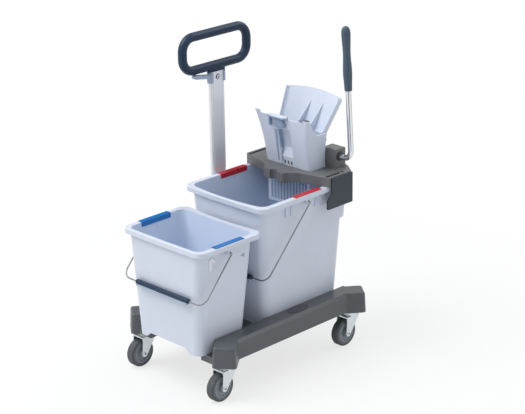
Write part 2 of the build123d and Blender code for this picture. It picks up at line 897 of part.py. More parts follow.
    def make_bail(self) -> None:
        """The wire bail with its dark tube grip, lying against the front wall."""
        angle = self.bail_angle()
        bar_y = self.middle_y - self.bail_arm * sin(angle)
        bar_z = self.pivot_z - self.bail_arm * cos(angle)
        pin_x = rim_half_width - rim_wall - lug_thickness - fit_gap
        with BuildPart() as bail:
            with BuildLine() as wire_line:
                FilletPolyline(
                    (-pin_x, self.middle_y, self.pivot_z),
                    (-bail_arm_x, self.middle_y, self.pivot_z),
                    (-bail_arm_x, bar_y, bar_z),
                    (bail_arm_x, bar_y, bar_z),
                    (bail_arm_x, self.middle_y, self.pivot_z),
                    (pin_x, self.middle_y, self.pivot_z),
                    radius=[bail_pin_bend, bail_corner_bend, bail_corner_bend, bail_pin_bend],
                )
            with BuildSketch(Plane(origin=wire_line.line @ 0, z_dir=wire_line.line % 0)):
                Circle(bail_wire_diameter / 2)
            sweep(path=wire_line.line)
        keep(bail, f"{self.name}_bail")
        with BuildPart() as grip:
            with Locations(Location((0, bar_y, bar_z), across)):
                Cylinder(bail_grip_diameter / 2, bail_grip_length)
            fillet(grip.edges().filter_by(GeomType.CIRCLE), bail_grip_round)
            with Locations(Location((0, bar_y, bar_z), across)):
                Cylinder(bail_wire_diameter / 2 + fit_gap, bail_grip_length, mode=Mode.SUBTRACT)
        keep(grip, f"{self.name}_bail_grip")


front_bucket = Bucket(
    name="front",
    middle_y=front_bucket_y,
    rim_top=front_rim_top,
    rim_depth=front_rim_depth,
    rim_bow=front_rim_bow,
    rim_side=front_rim_side,
    rim_front=front_rim_front,
    rim_back=front_rim_back,
    rim_hollow=front_rim_hollow,
    wall_bow=front_wall_bow,
    wall_hollow=front_wall_hollow,
    wall_corner=front_wall_corner,
    side_draft=front_side_draft,
    front_draft=front_front_draft,
    back_draft=front_back_draft,
    step=0.0,
    step_drop=0.0,
    pivot_drop=front_pivot_drop,
    bail_arm=front_bail_arm,
    clip_length=front_clip_length,
)
rear_bucket = Bucket(
    name="rear",
    middle_y=rear_bucket_y,
    rim_top=rear_rim_top,
    rim_depth=rear_rim_depth,
    rim_bow=rear_rim_bow,
    rim_side=rear_rim_side,
    rim_front=rear_rim_front,
    rim_back=rear_rim_back,
    rim_hollow=0.0,
    wall_bow=rear_wall_bow,
    wall_hollow=0.0,
    wall_corner=rear_wall_corner,
    side_draft=rear_side_draft,
    front_draft=rear_front_draft,
    back_draft=rear_back_draft,
    step=rear_step,
    step_drop=rear_step_drop,
    pivot_drop=rear_pivot_drop,
    bail_arm=rear_bail_arm,
    clip_length=rear_clip_length,
)
for bucket in (front_bucket, rear_bucket):
    bucket.make_tub()
    bucket.make_clips()
    bucket.make_bail()


# Wringer bridge with its bearing blocks


def bridge_outline(inset: float) -> None:
    """Plan of the bridge with the handle rest notch in its front bump, moved in by the inset."""
    shoulder = chamber_front - bridge_shoulder_reach
    bump_front = chamber_front - bridge_bump_reach
    with BuildLine() as right_half:
        Polyline(
            (0, bump_front),
            (bridge_bump_half, bump_front),
            (bridge_bump_half + bridge_corner_radius, bump_front + 2 * bridge_corner_radius),
            (bridge_waist_half, shoulder - 2 * bridge_corner_radius),
            (bridge_shoulder_half, shoulder),
            (bridge_half, shoulder + bridge_corner_radius),
            (bridge_half, side_clip_end),
            (block_outer, bridge_rear - 2 * bridge_corner_radius),
            (block_inner, bridge_rear),
            (0, bridge_rear),
        )
        mirror(right_half.line, about=Plane.YZ)
    make_face(right_half.edges())
    fillet(vertices(), bridge_corner_radius)
    with Locations((0, bump_front)):
        Circle(rest_notch_radius, mode=Mode.SUBTRACT)
    if inset:
        offset(amount=-inset, mode=Mode.REPLACE)


side_clip_end = chamber_front - side_clip_lead + side_clip_length
bearing_places = [
    Location((side * (block_inner + block_width / 2), shaft_y, shaft_z), across) for side in (-1, 1)
]
collar_middle = (chamber_front + chamber_back) / 2
collar_face = chamber_half - face_gap
basket_screw_z = deck_under - screw_head_diameter / 2 - face_gap
basket_screw_seats = [
    Location((side * collar_face, collar_middle + along * basket_screw_pitch / 2, basket_screw_z), turn)
    for side, turn in ((-1, across_left), (1, across))
    for along in (-1, 1)
]

with BuildPart() as press_bridge:
    with BuildSketch(Plane.XY.offset(bridge_bottom)):
        bridge_outline(0)
    extrude(amount=bridge_height)
    fillet(press_bridge.edges().group_by(Axis.Z)[-1], bridge_edge_radius)
    with BuildSketch(Plane.XY.offset(bridge_bottom)):
        bridge_outline(bridge_wall)
    extrude(amount=bridge_height - bridge_deck, mode=Mode.SUBTRACT)
    block_middle_y = shaft_y + (block_back - block_front) / 2
    for side in (-1, 1):
        with BuildSketch(Plane.YZ.offset(side * block_inner)):
            with Locations((block_middle_y, (deck_under + shaft_z + block_crown) / 2)):
                RectangleRounded(
                    block_front + block_back, shaft_z + block_crown - deck_under, block_round
                )
        extrude(amount=side * block_width)
    for place in bearing_places:
        with Locations(place):
            Cylinder(bush_radius + fit_gap, 2 * block_width, mode=Mode.SUBTRACT)
    with Locations((0, (opening_front + opening_rear) / 2, bridge_bottom)):
        Box(
            2 * chamber_half,
            opening_rear - opening_front,
            bridge_height,
            align=standing,
            mode=Mode.SUBTRACT,
        )
    with BuildSketch(Plane.XY.offset(deck_under)):
        for side in (-1, 1):
            with Locations((side * (bridge_half - bridge_slot_inset), (chamber_front + chamber_back) / 2)):
                SlotOverall(bridge_slot_length, bridge_slot_width, rotation=90)
    extrude(amount=bridge_deck, mode=Mode.SUBTRACT)
keep(press_bridge, "press_bridge")

for side, word in ((-1, "left"), (1, "right")):
    clip_front_y = side_clip_end - side_clip_length
    clip_low = bridge_bottom - side_clip_drop
    with BuildPart() as side_clip:
        with BuildSketch(Plane.YZ.offset(side * bridge_half)):
            with BuildLine():
                Polyline(
                    (clip_front_y, clip_low),
                    (side_clip_end, clip_low),
                    (side_clip_end, bridge_top - bridge_edge_radius),
                    (clip_front_y + side_clip_step, bridge_top - bridge_edge_radius),
                    (clip_front_y + side_clip_step, bridge_bottom - side_clip_step),
                    (clip_front_y, bridge_bottom - 2 * side_clip_step),
                    close=True,
                )
            make_face()
            fillet(vertices(), bridge_edge_radius)
        extrude(amount=side * side_clip_thickness)
    keep(side_clip, f"press_side_clip_{word}")


# Wringer basket, latch and sieve

front_wall_slope = (0, -front_wall_lean, front_wall_height)
front_wall_run = Vector(front_wall_slope).length
front_plane = Plane(
    origin=(0, chamber_front, bridge_top),
    x_dir=(1, 0, 0),
    z_dir=Vector(1, 0, 0).cross(Vector(front_wall_slope)),
)
front_edge_run = front_wall_run - horn_height
recess_top = front_edge_run - notch_depth
recess_plane = Plane(
    origin=(recess_offset, chamber_front, bridge_top), x_dir=front_wall_slope, z_dir=(1, 0, 0)
)


def basket_loft(inset: float, mode: Mode) -> None:
    """Add or cut the funnel that flares from the bridge to the top of the front wall."""
    half_widths = (chamber_half + basket_wall, front_wall_waist_half, front_wall_top_half)
    sections = []
    for step, half_width in enumerate(half_widths):
        share = step / (len(half_widths) - 1)
        front_y = chamber_front - basket_wall / 2 - share * front_wall_lean + inset
        rear_y = side_wall_rear + inset
        with BuildSketch(Plane.XY.offset(bridge_top + share * front_wall_height)) as section:
            with Locations((0, (front_y + rear_y) / 2)):
                Rectangle(2 * (half_width - inset), rear_y - front_y)
            fillet(section.vertices().group_by(Axis.Y)[0], basket_corner_radius - inset)
        sections.append(section.sketch.face())
    loft(sections, mode=mode)


with BuildPart() as press_basket:
    basket_loft(0, Mode.ADD)
    basket_loft(basket_wall, Mode.SUBTRACT)
    horn_top = bridge_top + front_wall_height
    side_wall_top = bridge_top + side_wall_height
    with BuildSketch(Plane.YZ) as side_cut:
        with BuildLine():
            Polyline(
                (chamber_front - front_wall_lean + basket_wall, horn_top),
                (chamber_front + side_wall_front_set, side_wall_top),
                (side_wall_rear + basket_wall, side_wall_top),
                (side_wall_rear + basket_wall, horn_top + basket_wall),
                close=True,
            )
        make_face()
        fillet(side_cut.vertices().group_by(Axis.Y)[0].sort_by(Axis.X)[0], side_wall_round)
    extrude(amount=front_wall_top_half + basket_wall, both=True, mode=Mode.SUBTRACT)
    with BuildSketch(front_plane):
        with Locations((0, front_wall_run)):
            RectangleRounded(2 * (front_wall_top_half - horn_width), 2 * horn_height, horn_round)
        with Locations((notch_offset, front_edge_run)):
            RectangleRounded(notch_width, 2 * notch_depth, notch_round)
        with Locations((recess_offset, drain_height)):
            with GridLocations(drain_pitch, 1, drain_slits, 1):
                Rectangle(drain_slit_width, drain_slit_height)
    extrude(amount=basket_wall, both=True, mode=Mode.SUBTRACT)
    with BuildSketch(recess_plane):
        with BuildLine():
            Polyline(
                (recess_bottom - basket_wall, 0),
                (recess_ramp_top, -recess_depth - basket_wall),
                (recess_top, -recess_depth - basket_wall),
                (recess_top, 0),
                close=True,
            )
        make_face()
    extrude(amount=recess_width / 2 + basket_wall, both=True)
    with BuildSketch(recess_plane):
        with BuildLine():
            Polyline(
                (recess_bottom, basket_wall),
                (recess_bottom, basket_wall / 2),
                (recess_ramp_top, -recess_depth),
                (recess_top, -recess_depth),
                (recess_top, basket_wall),
                close=True,
            )
        make_face()
    extrude(amount=recess_width / 2, both=True, mode=Mode.SUBTRACT)
    with BuildSketch(front_plane):
        with Locations((recess_offset - (recess_width + bead_width) / 2, (recess_top + basket_wall) / 2)):
            Rectangle(bead_width, recess_top - basket_wall)
    extrude(amount=basket_wall / 2 + bead_height)
    for side in (-1, 1):
        with Locations((side * (collar_face - collar_wall / 2), collar_middle, bridge_top)):
            Box(collar_wall, collar_length, collar_drop, align=hanging)
        with Locations((side * (collar_face - collar_wall / 2 + basket_wall / 2), collar_middle, bridge_top)):
            Box(collar_wall + basket_wall, collar_length, collar_rise, align=standing)
    for seat in basket_screw_seats:
        with Locations(seat):
            Cylinder(
                screw_shank_diameter / 2 + fit_gap, 2 * collar_wall, align=hanging, mode=Mode.SUBTRACT
            )
keep(press_basket, "press_basket")

make_screw("basket_screws", basket_screw_seats, collar_wall + sieve_wall, screw_head_diameter)

with BuildPart() as press_latch:
    lip_width = notch_width + 2 * latch_lip_overlap
    lip_top = front_edge_run + latch_lip_height
    with BuildSketch(front_plane.offset(basket_wall / 2)):
        with Locations((latch_offset, lip_top - latch_height / 2)):
            RectangleRounded(latch_width, latch_height, latch_round)
    extrude(amount=latch_reach)
    fillet(press_latch.faces().sort_by(Axis.Y)[0].edges(), latch_edge_round)
    with BuildSketch(front_plane.offset(-latch_back)):
        with Locations((notch_offset, lip_top - latch_lip_height / 2)):
            Rectangle(lip_width, latch_lip_height)
    extrude(amount=latch_back + basket_wall / 2 + latch_reach + latch_lip_overhang)
    with BuildSketch(front_plane.offset(-latch_back)):
        with Locations((notch_offset, lip_top - latch_tab_height / 2)):
            Rectangle(lip_width, latch_tab_height)
    extrude(amount=latch_back - basket_wall / 2 - seat_gap)
    fillet(press_latch.edges().filter_by(Axis.X).group_by(Axis.Z)[-1], latch_lip_height / 3)
keep(press_latch, "press_latch")

with BuildPart() as press_sieve:
    sieve_front = opening_front + face_gap
    sieve_middle = (sieve_front + sieve_rear) / 2
    sieve_length = sieve_rear - sieve_front
    sieve_height = deck_under - sieve_bottom
    with Locations((0, sieve_middle, sieve_bottom)):
        Box(2 * sieve_half, sieve_length, sieve_height, align=standing)
    with Locations((0, sieve_middle + sieve_wall, sieve_bottom + sieve_wall)):
        Box(
            2 * (sieve_half - sieve_wall),
            sieve_length + sieve_wall,
            2 * sieve_height,
            align=standing,
            mode=Mode.SUBTRACT,
        )
    slot_step = 2 * (sieve_half - sieve_margin) / sieve_ribs
    slot_height = sieve_height - 3 * sieve_margin
    with Locations((0, sieve_front, sieve_bottom + sieve_margin + slot_height / 2)):
        with GridLocations(slot_step, 1, sieve_ribs, 1):
            Box(sieve_slot_width, 4 * sieve_wall, slot_height, mode=Mode.SUBTRACT)
    with Locations((0, sieve_middle, sieve_bottom)):
        with GridLocations(slot_step, 1, sieve_ribs, 1):
            Box(
                sieve_slot_width,
                sieve_length - 2 * sieve_margin,
                4 * sieve_wall,
                mode=Mode.SUBTRACT,
            )
    with Locations(Location((0, jaw_hinge_y, jaw_hinge_z), across)):
        Cylinder(jaw_rod_diameter / 2 + fit_gap, 4 * sieve_half, mode=Mode.SUBTRACT)
    for seat in basket_screw_seats:
        with Locations(seat):
            Cylinder(
                screw_shank_diameter / 2 + fit_gap,
                collar_wall + sieve_wall + sieve_side_gap,
                align=hanging,
                mode=Mode.SUBTRACT,
            )
keep(press_sieve, "press_sieve")


# Wringer jaw: a plate hinged low in the sieve, with a flared flap above the basket

flap_slope = Vector(0, sin(radians(flap_lean)), cos(radians(flap_lean)))
flap_plane = Plane(
    origin=(0, chamber_back, flap_bottom),
    x_dir=(1, 0, 0),
    z_dir=Vector(1, 0, 0).cross(flap_slope),
)


def flap_point(along: float, out: float) -> tuple[float, float]:
    """Side view place on the flap, a way up its slope and out from its front face."""
    lean_sine, lean_cosine = sin(radians(flap_lean)), cos(radians(flap_lean))
    return (
        chamber_back + along * lean_sine - out * lean_cosine,
        flap_bottom + along * lean_cosine + out * lean_sine,
    )


roller_y = shaft_y + finger_arm * sin(radians(finger_back_angle))
roller_z = shaft_z + finger_arm * cos(radians(finger_back_angle))
lug_face = roller_y - finger_roller_radius - finger_play
lug_bottom = bridge_top + lug_plate_rise

with BuildPart() as flap_hollow:
    with BuildSketch(flap_plane):
        with BuildLine() as hollow_line:
            Polyline(
                (0, -jaw_thickness),
                (flap_base_half - basket_wall, -jaw_thickness),
                (flap_base_half - basket_wall, flap_step),
                (flap_top_half - basket_wall, flap_length),
                (flap_top_half - basket_wall, flap_length + 2 * flap_crown),
                (0, flap_length + 2 * flap_crown),
            )
            mirror(hollow_line.line, about=Plane.YZ)
        make_face(hollow_line.edges())
    extrude(amount=2 * flap_flange)
    hollow_floor = flap_hollow.faces().filter_by(flap_plane).sort_by(Axis.Y)[-1]
    fillet(hollow_floor.edges().filter_by(Axis.X, reverse=True), flap_round)

with BuildPart() as press_jaw:
    with Locations((0, jaw_hinge_y, jaw_hinge_z)):
        Box(2 * jaw_half, jaw_thickness, flap_bottom - jaw_hinge_z, align=standing)
    with Locations(Location((0, jaw_hinge_y, jaw_hinge_z), across)):
        Cylinder(jaw_barrel_radius, 2 * jaw_half)
    with BuildSketch(flap_plane.offset(-jaw_thickness)):
        with BuildLine():
            Polyline(
                (-flap_top_half, flap_length),
                (-flap_base_half, flap_step),
                (-jaw_half, flap_step),
                (-jaw_half, -jaw_thickness / 2),
                (jaw_half, -jaw_thickness / 2),
                (jaw_half, flap_step),
                (flap_base_half, flap_step),
                (flap_top_half, flap_length),
            )
            ThreePointArc(
                (flap_top_half, flap_length),
                (0, flap_length + flap_crown),
                (-flap_top_half, flap_length),
            )
        make_face()
        fillet(vertices().group_by(Axis.Y)[-1], flap_corner_radius)
    extrude(amount=jaw_thickness + flap_flange)
    add(flap_hollow.part, mode=Mode.SUBTRACT)
    for side in (-1, 1):
        with Locations((side * finger_place, chamber_back + jaw_thickness / 2, lug_bottom)):
            Box(
                lug_plate_thickness,
                lug_face - chamber_back - jaw_thickness / 2,
                lug_plate_height,
                align=(Align.CENTER, Align.MIN, Align.MIN),
            )
    for rib_x in flap_rib_places:
        with BuildSketch(Plane.YZ.offset(rib_x)):
            with BuildLine():
                Polyline(
                    flap_point(flap_rib_length, -jaw_thickness / 2),
                    flap_point(flap_rib_start, flap_rib_height),
                    (chamber_back + jaw_thickness / 2, flap_bottom - flap_rib_drop),
                    (chamber_back + jaw_thickness / 2, flap_bottom),
                    close=True,
                )
            make_face()
        extrude(amount=flap_rib_thickness / 2, both=True)
    with Locations(Location((0, jaw_hinge_y, jaw_hinge_z), across)):
        Cylinder(jaw_rod_diameter / 2 + run_clearance, 4 * jaw_half, mode=Mode.SUBTRACT)
keep(press_jaw, "press_jaw")

with BuildPart() as jaw_hinge_rod:
    with Locations(Location((0, jaw_hinge_y, jaw_hinge_z), across)):
        Cylinder(jaw_rod_diameter / 2, 2 * (sieve_half + sieve_wall))
keep(jaw_hinge_rod, "jaw_hinge_rod")


# Wringer lever: one bent tube whose lower run is the shaft

lean = radians(lever_lean)
lever_direction = Vector(0, -sin(lean), cos(lean))
tube_left = -block_outer - bush_flange_width - spring_width
tube_top = Vector(lever_x, shaft_y, shaft_z) + lever_direction * (lever_length - grip_wall_end)
grip_base = Vector(lever_x, shaft_y, shaft_z) + lever_direction * (lever_length - grip_length)

with BuildPart() as lever_tube:
    with BuildLine() as lever_line:
        FilletPolyline(
            (tube_left, shaft_y, shaft_z),
            (lever_x, shaft_y, shaft_z),
            tube_top,
            radius=lever_bend,
        )
    with BuildSketch(Plane(origin=lever_line.line @ 0, z_dir=lever_line.line % 0)):
        Circle(lever_tube_diameter / 2)
        Circle(lever_tube_diameter / 2 - lever_tube_wall, mode=Mode.SUBTRACT)
    sweep(path=lever_line.line)
    for side in (-1, 1):
        with Locations(Location((side * finger_place, shaft_y, shaft_z), (90, 0, 0))):
            Cylinder(
                finger_pin_diameter / 2 + fit_gap, 2 * finger_hub_radius, mode=Mode.SUBTRACT
            )
keep(lever_tube, "lever_tube")

grip_plane = Plane(origin=grip_base, x_dir=(1, 0, 0), z_dir=(0, -cos(lean), -sin(lean)))
grip_axis = Axis(grip_base, lever_direction)

with BuildPart() as lever_grip:
    tube_radius = lever_tube_diameter / 2 + fit_gap
    grip_radius = grip_diameter / 2
    waist_radius = grip_waist_diameter / 2
    with BuildSketch(grip_plane):
        with BuildLine():
            Spline(
                (waist_radius, 0),
                (grip_radius, grip_belly_place),
                (waist_radius, grip_waist_place),
                (grip_radius, grip_length - grip_shoulder_drop),
                (grip_tip_radius, grip_length - grip_tip_drop),
                (0, grip_length),
                tangents=[(0, 1), (-1, 0)],
            )
            Polyline(
                (0, grip_length),
                (0, grip_length - grip_wall_end),
                (tube_radius, grip_length - grip_wall_end),
                (tube_radius, 0),
                (waist_radius, 0),
            )
        make_face()
    revolve(axis=grip_axis)
keep(lever_grip, "lever_grip")

for side, word in ((-1, "left"), (1, "right")):
    with BuildPart() as push_finger:
        with BuildSketch(Plane.YZ.offset(side * finger_place)):
            with Locations((shaft_y, shaft_z)):
                Circle(finger_hub_radius)
            with Locations((roller_y, roller_z)):
                Circle(finger_roller_radius)
            with Locations(((shaft_y + roller_y) / 2, (shaft_z + roller_z) / 2)):
                Rectangle(finger_arm_width, finger_arm, rotation=-finger_back_angle)
        extrude(amount=finger_hub_width / 2, both=True)
        with Locations(Location((side * finger_place, shaft_y, shaft_z), across)):
            Cylinder(lever_tube_diameter / 2 + fit_gap, 2 * finger_hub_width, mode=Mode.SUBTRACT)
        with Locations(Location((side * finger_place, shaft_y, shaft_z), (90, 0, 0))):
            Cylinder(
                finger_pin_diameter / 2 + fit_gap, 4 * finger_hub_radius, mode=Mode.SUBTRACT
            )
    keep(push_finger, f"push_finger_{word}")

with BuildPart() as finger_pins:
    for side in (-1, 1):
        with Locations(Location((side * finger_place, shaft_y, shaft_z), (90, 0, 0))):
            Cylinder(finger_pin_diameter / 2, 2 * (finger_hub_radius - face_gap))
keep(finger_pins, "finger_pins")

for side, word in ((-1, "left"), (1, "right")):
    with BuildPart() as shaft_bush:
        with BuildSketch(Plane.YZ.offset(side * block_inner)):
            with Locations((shaft_y, shaft_z)):
                Circle(bush_radius)
        extrude(amount=side * block_width)
        with BuildSketch(Plane.YZ.offset(side * block_outer)):
            with Locations((shaft_y, shaft_z)):
                Circle(bush_radius + bush_flange)
        extrude(amount=side * bush_flange_width)
        with Locations(Location((side * block_outer, shaft_y, shaft_z), across)):
            Cylinder(
                lever_tube_diameter / 2 + run_clearance, 4 * block_width, mode=Mode.SUBTRACT
            )
    keep(shaft_bush, f"shaft_bush_{word}")

with BuildPart() as spring_cap:
    cap_radius = spring_cap_diameter / 2
    with BuildSketch(Plane.YZ.offset(-block_outer)):
        with Locations((shaft_y, shaft_z)):
            Circle(cap_radius)
    extrude(amount=-spring_cap_length)
    fillet(spring_cap.edges().group_by(Axis.X)[0], spring_cap_wall)
    with BuildSketch(Plane.YZ.offset(-block_outer)):
        with Locations((shaft_y, shaft_z)):
            Circle(cap_radius - spring_cap_wall)
    extrude(amount=-(spring_cap_length - spring_cap_wall), mode=Mode.SUBTRACT)
keep(spring_cap, "spring_cap")

with BuildPart() as return_spring:
    with BuildSketch(Plane.YZ.offset(-block_outer - bush_flange_width - face_gap)):
        with Locations((shaft_y, shaft_z)):
            Circle(cap_radius - spring_cap_wall - seat_gap)
            Circle(lever_tube_diameter / 2 + face_gap, mode=Mode.SUBTRACT)
    extrude(amount=-spring_width)
keep(return_spring, "return_spring")
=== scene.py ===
"""Looks of a mop bucket trolley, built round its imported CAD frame.

Each sub-assembly is a class that dresses its CAD nodes with finishes and adds its small
moulded forms. Lengths are in metres, apart from the outlines of raised marks, in the frame's
own axes: +X is the lever side, -Y the small bucket's side and +Z up.
"""

import json
import logging
import math
from dataclasses import dataclass
from enum import Enum
from typing import Any, Iterable, Union

import bmesh
import bpy
from mathutils import Matrix, Vector
from mathutils.bvhtree import BVHTree

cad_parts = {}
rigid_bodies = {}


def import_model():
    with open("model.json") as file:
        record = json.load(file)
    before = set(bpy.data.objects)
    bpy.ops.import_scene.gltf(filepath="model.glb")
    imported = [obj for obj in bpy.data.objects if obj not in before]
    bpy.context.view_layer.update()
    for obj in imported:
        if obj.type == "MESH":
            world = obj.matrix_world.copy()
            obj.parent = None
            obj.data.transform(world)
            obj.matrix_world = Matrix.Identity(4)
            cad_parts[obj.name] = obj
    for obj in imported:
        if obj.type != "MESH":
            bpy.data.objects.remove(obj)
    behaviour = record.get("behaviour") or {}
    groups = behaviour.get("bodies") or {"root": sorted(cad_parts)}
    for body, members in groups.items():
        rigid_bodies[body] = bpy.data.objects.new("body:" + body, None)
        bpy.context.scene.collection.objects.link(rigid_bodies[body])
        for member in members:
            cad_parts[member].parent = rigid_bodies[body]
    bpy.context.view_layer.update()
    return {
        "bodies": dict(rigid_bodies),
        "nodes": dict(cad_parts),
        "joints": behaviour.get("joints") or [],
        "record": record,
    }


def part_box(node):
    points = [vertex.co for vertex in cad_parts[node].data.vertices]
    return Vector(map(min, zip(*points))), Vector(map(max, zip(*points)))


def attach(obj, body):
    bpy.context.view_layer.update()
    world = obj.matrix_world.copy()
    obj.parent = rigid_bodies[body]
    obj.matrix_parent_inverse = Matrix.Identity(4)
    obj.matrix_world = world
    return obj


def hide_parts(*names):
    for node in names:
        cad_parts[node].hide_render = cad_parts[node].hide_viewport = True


LOG = logging.getLogger("mop_trolley")
MM = 0.001
EASE_STEPS = 2
Socket = bpy.types.NodeSocket
Mesh = bpy.types.Mesh
Material = bpy.types.Material
Colour = tuple[float, float, float, float]
Place = tuple[float, float, float]
Outline = tuple[tuple[float, float], ...]
Number = Union[float, "Signal"]


def srgb(red: int, green: int, blue: int) -> Colour:
    """Turn a screen colour into the linear colour that shaders take.

    Args:
        red: Red from 0 to 255.
        green: Green from 0 to 255.
        blue: Blue from 0 to 255.

    Returns:
        The linear colour with an alpha of 1.
    """
    def channel(value: int) -> float:
        """Turn one channel into linear light."""
        share = value / 255
        return share / 12.92 if share <= 0.04045 else ((share + 0.055) / 1.055) ** 2.4

    return channel(red), channel(green), channel(blue), 1.0


def tinted(colour: Colour, factor: float) -> Colour:
    """Scale a colour's light by a factor, kept within what a surface can reflect."""
    red, green, blue, alpha = colour
    return min(red * factor, 1), min(green * factor, 1), min(blue * factor, 1), alpha


def linked(name: str, data: bpy.types.ID) -> bpy.types.Object:
    """Put a new object in the scene.

    Args:
        name: The object's name.
        data: Its mesh, lamp or camera.

    Returns:
        The object.
    """
    made = bpy.data.objects.new(name, data)
    bpy.context.scene.collection.objects.link(made)
    return made


def closed(name: str, form: bmesh.types.BMesh) -> Mesh:
    """Turn a closed form into a mesh whose faces point outwards.

    Args:
        name: The mesh's name.
        form: The form, which is used up.

    Returns:
        The mesh.
    """
    bmesh.ops.recalc_face_normals(form, faces=form.faces)
    mesh = bpy.data.meshes.new(name)
    form.to_mesh(mesh)
    form.free()
    return mesh


class Side(Enum):
    """The two sides of the trolley along X."""

    LEFT = -1
    RIGHT = 1


class Facing(Enum):
    """The way that an upright wall faces, as its outward direction in plan."""

    RIGHT = (1, 0)
    LEFT = (-1, 0)
    FRONT = (0, -1)

    @property
    def outward(self) -> Vector:
        """Give the direction out of the wall."""
        return Vector((*self.value, 0))

    @property
    def along(self) -> Vector:
        """Give the level direction along the wall, towards +X or +Y."""
        return Vector((abs(self.value[1]), abs(self.value[0]), 0))


class Corner(Enum):
    """The four casters, by the middle of their nodes' names."""

    FRONT_LEFT = "front_left"
    FRONT_RIGHT = "front_right"
    REAR_LEFT = "rear_left"
    REAR_RIGHT = "rear_right"


class NodeGraph:
    """A node tree that is written as Python calls."""

    def __init__(self, tree: bpy.types.NodeTree) -> None:
        """Keep the tree that the nodes go into."""
        self.tree = tree

    def node(self, kind: str, settings: dict[str, Any] | None = None,
             inputs: dict[Any, Any] | None = None) -> bpy.types.Node:
        """Add one node.

        Args:
            kind: The node's type name.
            settings: The node's own settings, which are set before its sockets.
            inputs: Values or links for its sockets, by name or by place.

        Returns:
            The new node.
        """
        made = self.tree.nodes.new(kind)
        for name, value in (settings or {}).items():
            setattr(made, name, value)
        for key, value in (inputs or {}).items():
            self.feed(made.inputs[key], value)
        return made

    def feed(self, socket: Socket, value: Any) -> None:
        """Link a socket to a signal or another socket, or set its value.

        Args:
            socket: The input that takes the value.
            value: A signal, an output socket or a plain value.
        """
        if isinstance(value, Signal):
            self.tree.links.new(value.socket, socket)
        elif isinstance(value, Socket):
            self.tree.links.new(value, socket)
        else:
            socket.default_value = value


class Signal:
    """A number that changes over a surface, for use in Python expressions."""

    def __init__(self, graph: NodeGraph, socket: Socket) -> None:
        """Wrap one output socket."""
        self.graph = graph
        self.socket = socket

    def _math(self, operation: str, first: Number, second: Number) -> "Signal":
        """Add a Math node with two values and give its result."""
        made = self.graph.node("ShaderNodeMath", {"operation": operation}, {0: first, 1: second})
        return Signal(self.graph, made.outputs[0])

    def __add__(self, other: Number) -> "Signal":
        """Add a number or a signal."""
        return self._math("ADD", self, other)

    def __radd__(self, other: float) -> "Signal":
        """Add to a number."""
        return self._math("ADD", other, self)

    def __sub__(self, other: Number) -> "Signal":
        """Take a number or a signal away."""
        return self._math("SUBTRACT", self, other)

    def __rsub__(self, other: float) -> "Signal":
        """Take the signal away from a number."""
        return self._math("SUBTRACT", other, self)

    def __mul__(self, other: Number) -> "Signal":
        """Multiply by a number or a signal."""
        return self._math("MULTIPLY", self, other)

    def __rmul__(self, other: float) -> "Signal":
        """Multiply a number by the signal."""
        return self._math("MULTIPLY", other, self)

    def most(self, other: Number) -> "Signal":
        """Give the larger of two values."""
        return self._math("MAXIMUM", self, other)

    def between(self, low: float, high: float) -> "Signal":
        """Turn a span of the signal into a smooth rise from 0 to 1.

        Args:
            low: Where the rise starts.
            high: Where the rise ends.

        Returns:
            The rise as a signal.
        """
        made = self.graph.node(
            "ShaderNodeMapRange", {"interpolation_type": "SMOOTHSTEP"},
            {"Value": self, "From Min": low, "From Max": high})
        return Signal(self.graph, made.outputs["Result"])


